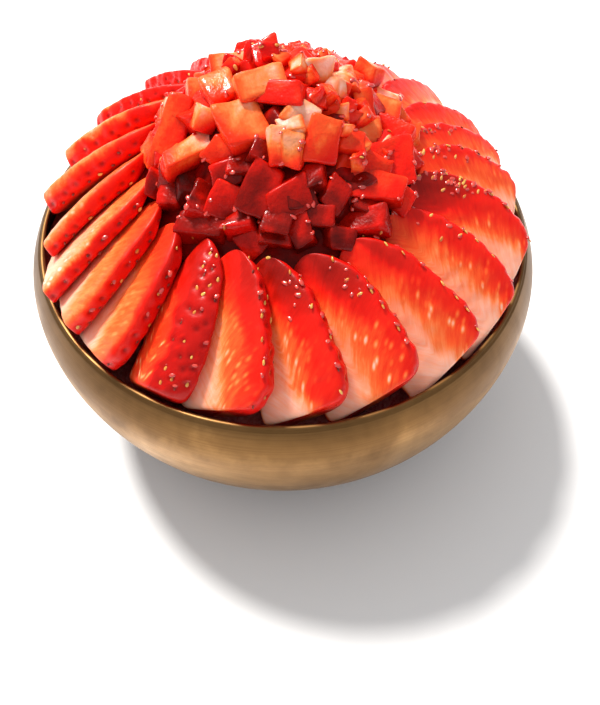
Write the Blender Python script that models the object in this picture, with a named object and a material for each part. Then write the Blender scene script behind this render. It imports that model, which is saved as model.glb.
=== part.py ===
# Shaved ice in a brass bowl, with a fan of strawberry slices round a heap of diced fruit.
import bpy
import bmesh
import math
import random
import numpy as np
from mathutils import Matrix, Vector

mm = 0.001

# The bowl, all in mm. The rim stands at bowlHeight and the widest line sits bulgeDrop under it.
bowlHeight = 75.0
rimRadius = 80.0
bulgeRadius = 85.0
bulgeDrop = 15.3
wall = 1.6
floorTop = 2.4
footOuter = 38.0
footInner = 33.5
footRecess = 1.1
lowerPower = 1.78
bowlSegments = 60

# The mound of ice, heights measured from the rim.
iceGap = 0.7
iceMargin = -12.6
iceSegments = 48

# The fan of slices, heights measured from the rim.
fanOuter = 77.0
fanTop = 41.35
fanDrop = 38.1
fanPower = 1.84
tiltOuter = 24.8
tiltInner = 29.6
thickest = 8.0
hullWidth = 0.62
tuckedHull = 0.85
widest = 0.2
clearance = 0.5
roomShare = 0.86

# The heap of dice.
heapRadius = 41.0
heapTop = 62.0
heapDrop = 32.0
heapPower = 1.6
heapBase = 24.9
coreRadius = 38.5
coreTop = 53.0
heapReach = 40.0
footDice = 20
diceCount = 60

# name, azimuth at the rim, azimuth inside, half width, outer radius, inner radius, cut height, lift
slices = [
    ("slice_01", 107.8, 102.3, 14.3, 77.3, 41.0, 0.35, 0.5),
    ("slice_02", 121.8, 114.9, 15.4, 77.4, 41.5, 0.10, 0.0),
    ("slice_03", 139.9, 127.5, 14.8, 77.8, 40.6, 0.45, 0.3),
    ("slice_04", 154.5, 139.7, 14.6, 78.1, 41.0, 0.05, 0.0),
    ("slice_05", 170.0, 159.6, 14.4, 78.2, 40.8, 0.30, 0.3),
    ("slice_06", 187.4, 177.4, 14.1, 76.3, 41.6, 0.15, 0.0),
    ("slice_07", 198.3, 195.7, 14.4, 79.0, 40.6, 0.40, 0.2),
    ("slice_08", 209.6, 210.6, 14.2, 78.1, 41.0, 0.10, 0.3),
    ("slice_09", 222.6, 223.5, 14.2, 78.4, 42.0, 0.25, 0.0),
    ("slice_10", 240.5, 240.0, 14.6, 78.1, 40.8, 1.00, 0.3),
    ("slice_11", 257.2, 252.4, 14.6, 77.4, 41.2, 0.20, 0.2),
    ("slice_12", 275.6, 264.4, 13.8, 77.2, 42.0, 0.30, 0.2),
    ("slice_13", 290.9, 279.7, 15.7, 77.0, 41.6, 0.35, 0.0),
    ("slice_14", 309.6, 297.5, 14.8, 78.2, 41.0, 0.25, 0.2),
    ("slice_15", 325.2, 320.5, 14.2, 78.5, 40.8, 0.20, 0.2),
    ("slice_16", 341.2, 342.4, 14.4, 78.0, 40.6, 0.40, 0.3),
    ("slice_17", 358.4, 356.2, 13.6, 76.2, 41.0, 0.30, 0.0),
    ("slice_18", 370.4, 368.9, 12.8, 75.6, 40.8, 0.15, 0.2),
    ("slice_19", 382.4, 383.0, 12.6, 77.1, 41.6, 0.35, 0.0),
    ("slice_20", 398.0, 396.4, 13.6, 76.7, 40.8, 0.20, 0.2),
    ("slice_21", 410.0, 409.9, 14.5, 77.5, 41.0, 0.40, 0.0),
    ("slice_22", 426.2, 424.2, 14.3, 77.3, 41.4, 0.10, 0.3),
    ("slice_23", 441.0, 437.0, 14.3, 77.0, 40.8, 0.30, 0.0),
    ("slice_24", 454.7, 449.7, 14.0, 77.6, 41.0, 0.25, 0.2),
]

# Dice that stand out: azimuth, radius, lift of the centre, length, width, height, yaw, pitch, roll
showDice = [
    (206.0, 29.5, -2.0, 17.0, 8.0, 9.0, 60, -28, 10),
    (237.0, 19.0, 0.5, 13.0, 10.0, 10.0, 20, 12, 30),
    (279.0, 16.5, -1.0, 9.0, 9.0, 12.0, 25, 10, -15),
    (262.0, 14.5, 0.0, 8.0, 8.0, 9.0, -30, 20, 10),
    (213.0, 8.0, 0.5, 16.0, 9.0, 8.5, 8, -4, 12),
    (350.0, 9.0, 1.0, 11.5, 8.0, 8.0, -8, 5, 15),
    (291.0, 9.5, -4.0, 18.0, 9.0, 8.0, 4, 0, 40),
    (323.0, 26.0, -1.0, 9.0, 8.0, 11.0, 35, 10, 5),
    (341.0, 30.5, 0.5, 7.0, 6.0, 6.5, 10, 30, 20),
    (242.0, 32.0, -2.0, 11.0, 8.0, 12.0, -35, 20, 25),
    (258.0, 29.5, -3.0, 9.0, 8.5, 13.0, 10, -12, 20),
    (274.0, 31.0, -2.5, 13.0, 9.5, 9.0, -15, 18, 35),
    (291.0, 32.0, -2.0, 15.0, 8.0, 13.0, 42, 15, 0),
    (290.0, 26.5, -1.0, 8.0, 7.0, 7.0, 15, 30, 10),
    (249.0, 34.5, -2.5, 10.5, 8.0, 7.0, 5, 15, 20),
    (268.0, 36.5, -2.5, 9.0, 7.5, 7.5, 3, 12, 6),
    (279.5, 36.0, -2.0, 7.0, 7.0, 7.0, 50, 8, 15),
    (256.5, 36.8, -2.5, 9.0, 7.0, 7.5, -12, 20, 10),
    (234.0, 35.8, -2.0, 12.0, 8.0, 6.5, -20, 10, 18),
    (222.0, 32.5, -1.0, 9.0, 8.0, 10.0, 25, 15, 40),
    (322.0, 32.0, 0.5, 15.0, 19.0, 6.0, -38, 34, 8),
    (303.0, 36.5, -2.0, 17.0, 7.0, 7.0, -4, 2, 12),
    (178.0, 33.5, 4.0, 8.0, 9.0, 19.0, 12, -16, 6),
]


def clearScene():
    for item in list(bpy.data.objects):
        bpy.data.objects.remove(item, do_unlink=True)
    for mesh in list(bpy.data.meshes):
        bpy.data.meshes.remove(mesh)


def paint(name, colour, roughness, metallic=0.0):
    material = bpy.data.materials.new(name)
    material.use_nodes = True
    shader = material.node_tree.nodes["Principled BSDF"]
    shader.inputs["Base Color"].default_value = (*colour, 1.0)
    shader.inputs["Roughness"].default_value = roughness
    shader.inputs["Metallic"].default_value = metallic
    material.diffuse_color = (*colour, 1.0)
    return material


def addObject(name, mesh, material, sharp=None):
    item = bpy.data.objects.new(name, mesh)
    bpy.context.scene.collection.objects.link(item)
    mesh.materials.append(material)
    if sharp is not None:
        mesh.shade_smooth()
        mesh.set_sharp_from_angle(angle=math.radians(sharp))
    return item


def spinProfile(name, profile, segments, material, sharp):
    # Turns a list of (r, z) in mm about the Z axis into one closed body.
    bm = bmesh.new()
    line = [bm.verts.new((r * mm, 0.0, z * mm)) for r, z in profile]
    edges = [bm.edges.new((line[i], line[i + 1])) for i in range(len(line) - 1)]
    bmesh.ops.spin(
        bm,
        geom=line + edges,
        cent=(0.0, 0.0, 0.0),
        axis=(0.0, 0.0, 1.0),
        angle=2.0 * math.pi,
        steps=segments,
        use_merge=True,
    )
    bmesh.ops.remove_doubles(bm, verts=bm.verts, dist=0.000005)
    bmesh.ops.recalc_face_normals(bm, faces=bm.faces)
    mesh = bpy.data.meshes.new(name)
    bm.to_mesh(mesh)
    bm.free()
    return addObject(name, mesh, material, sharp)


def lowerWall(radius, depth, footRadius, count):
    # r = r0 + (R - r0) cos(t)^(2/n), z = top - (top - depth) sin(t)^(2/n), t from the bulge down
    points = []
    top = bowlHeight - bulgeDrop
    for i in range(count + 1):
        t = 0.5 * math.pi * i / count
        side = max(math.cos(t), 0.0) ** (2.0 / lowerPower)
        down = math.sin(t) ** (2.0 / lowerPower)
        points.append((footRadius + (radius - footRadius) * side, top - (top - depth) * down))
    return points


def upperWall(radius, edge, count):
    # r = R - (R - edge) u^2.2, z = top + bulgeDrop u, u from the bulge up
    points = []
    for i in range(1, count + 1):
        u = i / count
        points.append((radius - (radius - edge) * u**2.2, bowlHeight - bulgeDrop * (1.0 - u)))
    return points


def makeBowl(material):
    outer = list(reversed(lowerWall(bulgeRadius, 0.0, footOuter, 8)))
    outer += upperWall(bulgeRadius, rimRadius + 0.15, 4)
    r, z = outer.pop()
    lip = [
        (r - 0.10, z - 0.45),
        (r - 0.55, z),
        (r - 1.10, z),
        (r - 1.50, z - 0.45),
    ]
    inner = upperWall(bulgeRadius - wall, rimRadius - wall + 0.15, 3)[:-1]
    inner = list(reversed(inner))
    inner += lowerWall(bulgeRadius - wall, floorTop, footOuter - 1.0, 7)
    profile = [(0.0, footRecess), (footInner - 0.8, footRecess), (footInner, 0.0)]
    profile += outer + lip + inner + [(0.0, floorTop)]
    return spinProfile("bowl", profile, bowlSegments, material, 38)


def fanLine(r):
    # Height of the cut faces above the rim: z = fanTop - fanDrop (r / fanOuter)^fanPower
    return fanTop - fanDrop * (r / fanOuter) ** fanPower


def moundHeight(r, azimuth):
    # Height of the ice above the rim: a slope of 0.92 from 19.5 at r = 40 down to the margin, a flat top
    # of 24.2 inside r = 36, and low ripples on the slope.
    slope = 19.5 - 0.92 * (r - 40.0)
    plateau = min(19.5 + 1.2 * (40.0 - r), 24.2)
    ripple = 0.3 * math.sin(5.0 * azimuth + 0.08 * r) + 0.2 * math.sin(11.0 * azimuth - 0.11 * r)
    height = plateau if r < 40.0 else max(slope, iceMargin)
    return height + ripple * min(max((78.0 - r) / 10.0, 0.0), 1.0) * (0.4 if r < 42.0 else 1.0) - 0.3


def makeIce(material):
    below = lowerWall(bulgeRadius - wall - iceGap, floorTop + iceGap, footOuter - 1.4, 5)
    below = [(0.0, floorTop + iceGap)] + list(reversed(below))[:-1]
    edge = bulgeRadius - wall - iceGap
    below.append((edge, bowlHeight + iceMargin - 0.9))
    above = [82.2, 78.0, 72.0, 62.0, 50.0, 40.0, 36.0]
    bm = bmesh.new()
    rings = []
    for r, z in below[1:]:
        ring = []
        for k in range(iceSegments):
            a = 2.0 * math.pi * k / iceSegments
            ring.append(bm.verts.new((r * math.cos(a) * mm, r * math.sin(a) * mm, z * mm)))
        rings.append(ring)
    for r in above:
        ring = []
        for k in range(iceSegments):
            a = 2.0 * math.pi * k / iceSegments
            z = bowlHeight + moundHeight(r, a)
            ring.append(bm.verts.new((r * math.cos(a) * mm, r * math.sin(a) * mm, z * mm)))
        rings.append(ring)
    for low, high in zip(rings, rings[1:]):
        for k in range(iceSegments):
            n = (k + 1) % iceSegments
            bm.faces.new((low[k], low[n], high[n], high[k]))
    bottom = bm.verts.new((0.0, 0.0, below[0][1] * mm))
    top = bm.verts.new((0.0, 0.0, (bowlHeight + 24.4) * mm))
    for k in range(iceSegments):
        n = (k + 1) % iceSegments
        bm.faces.new((bottom, rings[0][n], rings[0][k]))
        bm.faces.new((top, rings[-1][k], rings[-1][n]))
    bmesh.ops.recalc_face_normals(bm, faces=bm.faces)
    mesh = bpy.data.meshes.new("ice")
    bm.to_mesh(mesh)
    bm.free()
    return addObject("ice", mesh, material, 40)


def outline(s, hullShare):
    # Half width over its widest: 1 - (1 - hull) ((w - s) / w)^2.4 up to s = w, then (1 - u^2.2)^0.55 to the tip
    hull = 1.0 - (1.0 - hullShare) * (np.clip(widest - s, 0.0, 1.0) / widest) ** 2.4
    tip = (1.0 - (np.clip(s - widest, 0.0, 1.0) / (1.0 - widest)) ** 2.2) ** 0.55
    return hull * tip


def fanPoint(r, azimuth):
    return np.stack([r * np.cos(azimuth), r * np.sin(azimuth), bowlHeight + fanLine(r)], axis=1)


def sliceFrame(row, s):
    # Centre C, width direction W and face normal M for each s, where T runs along the slice, B is level
    # and across it, U = B x T: W = cos(tilt) B + sin(tilt) U, M = cos(tilt) U - sin(tilt) B
    name, azimuthOut, azimuthIn, half, outer, inner, cut, lift = row
    azimuth = np.radians(azimuthOut + (azimuthIn - azimuthOut) * s)
    r = outer + (inner - outer) * s
    step = 1e-4
    centre = fanPoint(r, azimuth)
    along = fanPoint(r + (inner - outer) * step, azimuth + math.radians(azimuthIn - azimuthOut) * step) - centre
    along /= np.linalg.norm(along, axis=1, keepdims=True)
    side = np.stack([-np.sin(azimuth), np.cos(azimuth), 0.0 * azimuth], axis=1)
    side -= along * np.sum(side * along, axis=1, keepdims=True)
    side /= np.linalg.norm(side, axis=1, keepdims=True)
    up = np.cross(side, along)
    tilt = np.radians(tiltOuter + (tiltInner - tiltOuter) * s)[:, None]
    width = np.cos(tilt) * side + np.sin(tilt) * up
    normal = np.cos(tilt) * up - np.sin(tilt) * side
    return centre + normal * lift, width, normal


def thickness(index, s):
    # The room to the next slice anticlockwise, r dphi sin(tilt), less the clearance, up to the thickest
    row = slices[index]
    other = slices[(index + 1) % len(slices)]
    gapOut = (other[1] - row[1]) % 360.0
    gapIn = (other[2] - row[2]) % 360.0
    gap = np.radians(gapOut * (1.0 - s) + gapIn * s)
    r = row[4] + (row[5] - row[4]) * s
    tilt = np.radians(tiltOuter + (tiltInner - tiltOuter) * s)
    swirl = math.atan(math.radians(other[2] - other[1]) * 60.0 / (other[4] - other[5]))
    room = roomShare * math.cos(swirl) * r * gap * np.sin(tilt) - clearance + (row[7] - other[7])
    return np.minimum(room, thickest)


def sliceSection(half, thick, cut, wide, deep):
    # A berry's round section cut by two planes: (y / w)^2 + ((z - c) / h)^2 = 1 for z from -t to 0
    centre = -cut * thick
    tall = max(0.95 * half, 1.12 * thick) if cut < 0.9 else 1.18 * thick
    z = np.linspace(0.0, -thick, deep + 1)
    y = half * np.sqrt(np.clip(1.0 - ((z - centre) / tall) ** 2, 0.0, 1.0))
    top = np.linspace(-y[0], y[0], wide + 1)
    low = np.linspace(y[-1], -y[-1], wide + 1)
    ys = np.concatenate([top, y[1:], low[1:], y[-2:0:-1] * -1.0])
    zs = np.concatenate([0.0 * top, z[1:], 0.0 * low[1:] - thick, z[-2:0:-1]])
    return ys, zs


def makeSlice(index, stations, wide, deep, material):
    row = slices[index]
    s = np.array(stations)
    centre, width, normal = sliceFrame(row, s)
    thick = thickness(index, s)
    shape = outline(s, hullWidth)
    tucked = outline(s, tuckedHull)
    bm = bmesh.new()
    rings = []
    for k in range(len(s)):
        shrink = min(1.0, shape[k] / 0.62)
        ys, zs = sliceSection(row[3] * shape[k], thick[k] * shrink, row[6], wide, deep)
        ys = np.where(ys < 0.0, ys * tucked[k] / shape[k], ys)
        points = centre[k] + ys[:, None] * width[k] + zs[:, None] * normal[k]
        rings.append([bm.verts.new(tuple(p * mm)) for p in points])
    count = len(rings[0])
    for low, high in zip(rings, rings[1:]):
        for k in range(count):
            n = (k + 1) % count
            bm.faces.new((low[k], low[n], high[n], high[k]))
    bm.faces.new(list(reversed(rings[0])))
    bm.faces.new(rings[-1])
    bmesh.ops.triangulate(bm, faces=[f for f in bm.faces if len(f.verts) > 4])
    bmesh.ops.recalc_face_normals(bm, faces=bm.faces)
    mesh = bpy.data.meshes.new(row[0])
    bm.to_mesh(mesh)
    bm.free()
    return addObject(row[0], mesh, material, 32)


def heapLine(r):
    # Height of the heap above the rim: z = heapTop - heapDrop (r / heapRadius)^heapPower
    return heapTop - heapDrop * (r / heapRadius) ** heapPower


def dieMesh(name, centre, sizes, angles, rng, material):
    # A cut cube: eight corners, each pulled in by up to a fifth, so that no two dice are alike.
    turn = Matrix.Rotation(angles[0], 3, "Z") @ Matrix.Rotation(angles[1], 3, "Y") @ Matrix.Rotation(angles[2], 3, "X")
    bm = bmesh.new()
    bmesh.ops.create_cube(bm, size=1.0)
    for vert in bm.verts:
        pull = [1.0 - 0.22 * rng.random() for _ in range(3)]
        local = Vector((vert.co.x * sizes[0] * pull[0], vert.co.y * sizes[1] * pull[1], vert.co.z * sizes[2] * pull[2]))
        vert.co = turn @ local + Vector(centre)
    # Keep the die on the ice and inside the ring of slices.
    reach = max(math.hypot(v.co.x, v.co.y) for v in bm.verts)
    low = min(v.co.z for v in bm.verts)
    rise = max(0.0, bowlHeight + heapBase + 0.6 - low)
    away = math.hypot(centre[0], centre[1])
    pull = max(0.0, reach - heapReach) / away if low < bowlHeight + 39.0 else 0.0
    for vert in bm.verts:
        vert.co = Vector((vert.co.x - centre[0] * pull, vert.co.y - centre[1] * pull, vert.co.z + rise)) * mm
    mesh = bpy.data.meshes.new(name)
    bm.to_mesh(mesh)
    bm.free()
    return addObject(name, mesh, material)


def diceTable(rng):
    # The shown dice first, then a ring round the foot, then a sunflower spread r = R sqrt(k / n),
    # azimuth = k times the golden angle
    table = []
    for azimuth, r, lift, sx, sy, sz, yaw, pitch, roll in showDice:
        a = math.radians(azimuth)
        z = bowlHeight + heapLine(r) + lift - 0.35 * sz
        angles = [math.radians(v) for v in (yaw, pitch, roll)]
        table.append(((r * math.cos(a), r * math.sin(a), z), (sx, sy, sz), angles))
    for k in range(footDice):
        r = 36.6 + 0.5 * math.sin(5.0 * k)
        a = math.radians(360.0 / footDice * k + 4.0 + 3.0 * math.sin(2.6 * k))
        sizes = (rng.uniform(7.5, 9.0), rng.uniform(8.0, 10.5), rng.uniform(7.0, 9.5))
        spot = (r * math.cos(a), r * math.sin(a), bowlHeight + heapBase + 0.62 * sizes[2])
        if any((Vector(spot) - Vector(other[0])).length < 6.0 for other in table):
            continue
        table.append((spot, sizes, [a + rng.uniform(-0.3, 0.3), rng.uniform(-0.25, 0.25), rng.uniform(-0.3, 0.3)]))
    for k in range(diceCount):
        r = 36.0 * math.sqrt((k + 0.4) / diceCount)
        a = math.radians(137.508 * k + 20.0)
        size = rng.uniform(8.0, 11.5)
        sizes = (size * rng.uniform(0.9, 1.35), size * rng.uniform(0.75, 1.0), size * rng.uniform(0.75, 1.0))
        spot = (r * math.cos(a), r * math.sin(a), bowlHeight + heapLine(r) - 0.42 * sizes[2] - rng.uniform(0.0, 1.5))
        angles = [rng.uniform(-3.1, 3.1), rng.uniform(-0.5, 0.5), rng.uniform(-0.6, 0.6)]
        if any((Vector(spot) - Vector(other[0])).length < 6.5 for other in table):
            continue
        table.append((spot, sizes, angles))
    return table


def keepLargest(bm):
    # Fills sealed hollows and drops loose scraps: only the island of triangles with the largest volume stays.
    islands = []
    left = set(bm.faces)
    while left:
        island = {left.pop()}
        edge = list(island)
        while edge:
            face = edge.pop()
            near = {other for line in face.edges for other in line.link_faces} & left
            left -= near
            island |= near
            edge.extend(near)
        islands.append(island)

    def volume(island):
        corners = [[v.co for v in face.verts] for face in island]
        return sum(a.dot(b.cross(c)) for a, b, c in corners) / 6.0

    islands.sort(key=volume)
    for island in islands[:-1]:
        bmesh.ops.delete(bm, geom=list(island), context="FACES")
    bmesh.ops.delete(bm, geom=[v for v in bm.verts if not v.link_faces], context="VERTS")


def makeHeap(material):
    rng = random.Random(11)
    profile = [(0.0, bowlHeight + heapBase), (coreRadius - 1.5, bowlHeight + heapBase)]
    profile.append((coreRadius, bowlHeight + heapBase + 2.0))
    for i in range(1, 7):
        u = i / 6.0
        r = coreRadius * (1.0 - u**1.5)
        profile.append((r, bowlHeight + heapBase + 3.0 + (coreTop - heapBase - 3.0) * (1.0 - (r / coreRadius) ** 1.9)))
    core = spinProfile("heap", profile, 28, material, 40)
    group = bpy.data.collections.new("dice")
    bpy.context.scene.collection.children.link(group)
    for k, (spot, sizes, angles) in enumerate(diceTable(rng)):
        die = dieMesh("die_%02d" % k, spot, sizes, angles, rng, material)
        bpy.context.scene.collection.objects.unlink(die)
        group.objects.link(die)
    union = core.modifiers.new("fuse", "BOOLEAN")
    union.operation = "UNION"
    union.operand_type = "COLLECTION"
    union.collection = group
    union.solver = "EXACT"
    bpy.context.view_layer.objects.active = core
    bpy.ops.object.modifier_apply(modifier=union.name)
    for die in list(group.objects):
        bpy.data.objects.remove(die, do_unlink=True)
    bpy.data.collections.remove(group)
    bm = bmesh.new()
    bm.from_mesh(core.data)
    bmesh.ops.remove_doubles(bm, verts=bm.verts, dist=0.00002)
    bmesh.ops.dissolve_degenerate(bm, edges=bm.edges, dist=0.00002)
    bmesh.ops.triangulate(bm, faces=bm.faces)
    keepLargest(bm)
    bm.to_mesh(core.data)
    bm.free()
    return core


def main():
    clearScene()
    brass = paint("brass", (0.55, 0.40, 0.18), 0.32, 1.0)
    iceMaterial = paint("ice", (0.80, 0.62, 0.60), 0.45)
    berry = paint("strawberry", (0.80, 0.05, 0.02), 0.25)
    diced = paint("strawberry_diced", (0.75, 0.04, 0.02), 0.2)
    makeBowl(brass)
    makeIce(iceMaterial)
    stations = [0.0, 0.05, 0.12, 0.22, 0.38, 0.55, 0.7, 0.83, 0.93, 0.98]
    for index in range(len(slices)):
        makeSlice(index, stations, 3, 2, berry)
    makeHeap(diced)


main()
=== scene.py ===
import math

import bpy
import numpy as np
from mathutils import Matrix, Vector


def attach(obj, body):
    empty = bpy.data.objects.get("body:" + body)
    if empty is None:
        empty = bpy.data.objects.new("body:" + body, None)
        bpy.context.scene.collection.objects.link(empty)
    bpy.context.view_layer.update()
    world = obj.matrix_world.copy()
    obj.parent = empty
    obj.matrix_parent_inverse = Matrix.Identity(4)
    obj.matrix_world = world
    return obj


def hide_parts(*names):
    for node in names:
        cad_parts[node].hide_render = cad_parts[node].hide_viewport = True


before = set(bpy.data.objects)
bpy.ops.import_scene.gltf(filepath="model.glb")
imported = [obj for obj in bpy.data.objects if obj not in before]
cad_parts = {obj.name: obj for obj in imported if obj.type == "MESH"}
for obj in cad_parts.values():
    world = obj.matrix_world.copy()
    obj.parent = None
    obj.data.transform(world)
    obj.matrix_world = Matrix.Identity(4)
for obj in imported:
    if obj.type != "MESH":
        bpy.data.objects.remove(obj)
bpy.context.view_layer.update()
mm = 0.001
print("frame loaded:", len(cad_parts), "nodes")

# The camera that took the photograph, and soft light from behind on the left

viewSettings = {
    "focal": 850.0 / 705.0 * 36.0,
    "sensor": 36.0,
    "place": (0.0041585, -0.199643, 0.2813101),
    "pitch": 0.955,
    "turn": 0.0085,
    "roll": 0.0071,
}


def makeCamera(view):
    # Looks along d, pitched down and turned a little, then rolled round its own line of sight
    pitch, turn, roll = view["pitch"], view["turn"], view["roll"]
    ahead = Vector((math.sin(turn) * math.cos(pitch), math.cos(turn) * math.cos(pitch), -math.sin(pitch)))
    right = Vector((math.cos(turn), -math.sin(turn), 0.0))
    up = right.cross(ahead)
    across = right * math.cos(roll) + up * math.sin(roll)
    upright = up * math.cos(roll) - right * math.sin(roll)
    data = bpy.data.cameras.new("camera")
    data.sensor_fit = "VERTICAL"
    data.sensor_height = view["sensor"]
    data.lens = view["focal"]
    data.clip_start = 0.01
    data.clip_end = 20.0
    camera = bpy.data.objects.new("camera", data)
    x, y, z = view["place"]
    camera.matrix_world = Matrix(
        (
            (across.x, upright.x, -ahead.x, x),
            (across.y, upright.y, -ahead.y, y),
            (across.z, upright.z, -ahead.z, z),
            (0.0, 0.0, 0.0, 1.0),
        )
    )
    bpy.context.scene.collection.objects.link(camera)
    bpy.context.scene.camera = camera
    return camera


lightSettings = {
    "sunWay": (0.42, -0.52, -1.0),  # the way the light travels: from behind, left and above
    "sunStrength": 5.4,
    "sunWidth": 13.0,
    "sunColour": (1.0, 0.97, 0.93),
    "skyStrength": 0.72,
    "skyTop": (1.0, 0.99, 0.98),
    "skyLow": (0.50, 0.52, 0.60),
}


def makeLight(light):
    data = bpy.data.lights.new("window", "SUN")
    data.energy = light["sunStrength"]
    data.angle = math.radians(light["sunWidth"])
    data.color = light["sunColour"]
    sun = bpy.data.objects.new("window", data)
    way = Vector(light["sunWay"]).normalized()
    sun.rotation_euler = way.to_track_quat("-Z", "Y").to_euler()
    bpy.context.scene.collection.objects.link(sun)

    world = bpy.data.worlds.new("room")
    bpy.context.scene.world = world
    world.use_nodes = True
    nodes, links = world.node_tree.nodes, world.node_tree.links
    nodes.clear()
    place = nodes.new("ShaderNodeTexCoord")
    split = nodes.new("ShaderNodeSeparateXYZ")
    links.new(place.outputs["Generated"], split.inputs[0])
    ramp = nodes.new("ShaderNodeValToRGB")
    ramp.color_ramp.elements[0].position = 0.02
    ramp.color_ramp.elements[0].color = (*light["skyLow"], 1.0)
    ramp.color_ramp.elements[1].position = 0.75
    ramp.color_ramp.elements[1].color = (*light["skyTop"], 1.0)
    links.new(split.outputs["Z"], ramp.inputs["Fac"])
    back = nodes.new("ShaderNodeBackground")
    back.inputs["Strength"].default_value = light["skyStrength"]
    links.new(ramp.outputs["Color"], back.inputs["Color"])
    out = nodes.new("ShaderNodeOutputWorld")
    links.new(back.outputs[0], out.inputs["Surface"])
    bpy.context.scene.view_settings.view_transform = "Standard"
    bpy.context.scene.view_settings.look = "None"


makeCamera(viewSettings)
makeLight(lightSettings)
print("camera and light ready")


# Helpers that make meshes

def meshObject(name, points, quads, tris, values, material, smooth=True):
    # points (n, 3) in mm; quads (k, 4) and tris (m, 3) index them; values: one number or vector per point
    mesh = bpy.data.meshes.new(name)
    quads = np.asarray(quads, dtype=np.int32).reshape(-1, 4)
    tris = np.asarray(tris, dtype=np.int32).reshape(-1, 3)
    loops = np.concatenate([quads.ravel(), tris.ravel()])
    starts = np.concatenate([np.arange(len(quads)) * 4, len(quads) * 4 + np.arange(len(tris)) * 3])
    mesh.vertices.add(len(points))
    mesh.vertices.foreach_set("co", (np.asarray(points, dtype=np.float32) * mm).ravel())
    mesh.loops.add(len(loops))
    mesh.loops.foreach_set("vertex_index", loops.astype(np.int32))
    mesh.polygons.add(len(starts))
    mesh.polygons.foreach_set("loop_start", starts.astype(np.int32))
    mesh.update(calc_edges=True)
    mesh.validate()
    for key, value in values.items():
        value = np.asarray(value, dtype=np.float32)
        if value.ndim == 1:
            layer = mesh.attributes.new(key, "FLOAT", "POINT")
            layer.data.foreach_set("value", value)
        else:
            layer = mesh.attributes.new(key, "FLOAT_VECTOR", "POINT")
            layer.data.foreach_set("vector", value.ravel())
    if smooth:
        mesh.shade_smooth()
    mesh.materials.append(material)
    item = bpy.data.objects.new(name, mesh)
    bpy.context.scene.collection.objects.link(item)
    return item


def tubeFaces(rows, columns):
    # Quads between neighbouring rings of a grid that closes on itself along its columns
    k = np.arange(columns)
    start = np.arange(rows - 1)[:, None] * columns
    low, after = start + k, start + (k + 1) % columns
    return np.stack([low, after, after + columns, low + columns], axis=2).reshape(-1, 4)


def fanFaces(ring, pole, flip=False):
    # Triangles from a ring of points to the pole that closes it
    after = np.roll(ring, -1)
    centre = np.full_like(ring, pole)
    return np.stack([after, ring, centre] if flip else [ring, after, centre], axis=1)


def outward(points, quads, tris):
    # Turns every face round if the volume comes out negative
    a, b, c, d = (points[quads[:, k]] for k in range(4))
    volume = np.sum(a * np.cross(b, c)) + np.sum(a * np.cross(c, d))
    if len(tris):
        e, f, g = (points[tris[:, k]] for k in range(3))
        volume += np.sum(e * np.cross(f, g))
    if volume < 0.0:
        quads, tris = quads[:, ::-1], tris[:, ::-1]
    return quads, tris


def repeated(faces, count, step):
    # The same faces for count copies of a shape with step points
    return (faces[None] + np.arange(count)[:, None, None] * step).reshape(-1, faces.shape[1])


def closed(rings, first, last):
    # A grid of rings (rows, columns, 3) and a pole at each end: points, quads and triangles, facing outward
    rows, columns = rings.shape[:2]
    points = np.concatenate([rings.reshape(-1, 3), [first], [last]])
    ring = np.arange(columns)
    count = rows * columns
    tris = np.concatenate([fanFaces(ring, count, True), fanFaces(ring + count - columns, count + 1)])
    return (points, *outward(points, tubeFaces(rows, columns), tris))


def unit(v):
    return v / np.linalg.norm(v, axis=-1, keepdims=True)


def circled(r, a, z):
    # x = r cos(a), y = r sin(a)
    return np.stack([r * np.cos(a), r * np.sin(a), z + 0.0 * r * a], axis=-1)


def smoothStep(low, high, x):
    t = np.clip((x - low) / (high - low), 0.0, 1.0)
    return t * t * (3.0 - 2.0 * t)


def waves(points, rng, size, count=7):
    # Sum of count sines along random directions, each with a wavelength near size: between -1 and 1, roughly
    way = unit(rng.normal(size=(count, 3)))
    length = size * rng.uniform(0.6, 1.6, count)
    phase = rng.uniform(0.0, 2.0 * math.pi, count)
    turn = 2.0 * math.pi * (points @ way.T) / length + phase
    return np.sin(turn).sum(axis=-1) / math.sqrt(count)


# Finishes

def colour(r, g, b):
    # An 8-bit screen colour as the linear colour that nodes use
    def linear(v):
        v /= 255.0
        return v / 12.92 if v <= 0.04045 else ((v + 0.055) / 1.055) ** 2.4

    return (linear(r), linear(g), linear(b), 1.0)


def newGroup(name, inputs, outputs):
    group = bpy.data.node_groups.new(name, "ShaderNodeTree")
    for label, kind, default in inputs:
        socket = group.interface.new_socket(label, in_out="INPUT", socket_type=kind)
        if default is not None:
            socket.default_value = default
    for label, kind in outputs:
        group.interface.new_socket(label, in_out="OUTPUT", socket_type=kind)
    first = group.nodes.new("NodeGroupInput")
    last = group.nodes.new("NodeGroupOutput")
    return group, first, last


def math2(tree, kind, a, b=None, clamp=False):
    node = tree.nodes.new("ShaderNodeMath")
    node.operation = kind
    node.use_clamp = clamp
    for slot, value in zip(node.inputs, (a, b)):
        if value is None:
            continue
        if isinstance(value, (int, float)):
            slot.default_value = value
        else:
            tree.links.new(value, slot)
    return node.outputs[0]


def added(tree, a, b, clamp=False):
    return math2(tree, "ADD", a, b, clamp)


def times(tree, a, b):
    return math2(tree, "MULTIPLY", a, b)


def objectPlace(tree):
    return tree.nodes.new("ShaderNodeTexCoord").outputs["Object"]


def addBump(tree, shader, height, strength, distance):
    # The distance is in mm
    bump = tree.nodes.new("ShaderNodeBump")
    bump.inputs["Strength"].default_value = strength
    bump.inputs["Distance"].default_value = distance * mm
    tree.links.new(height, bump.inputs["Height"])
    tree.links.new(bump.outputs[0], shader.inputs["Normal"])


def paint(tree, shader, shade):
    tree.links.new(shade, shader.inputs["Base Color"])


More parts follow.
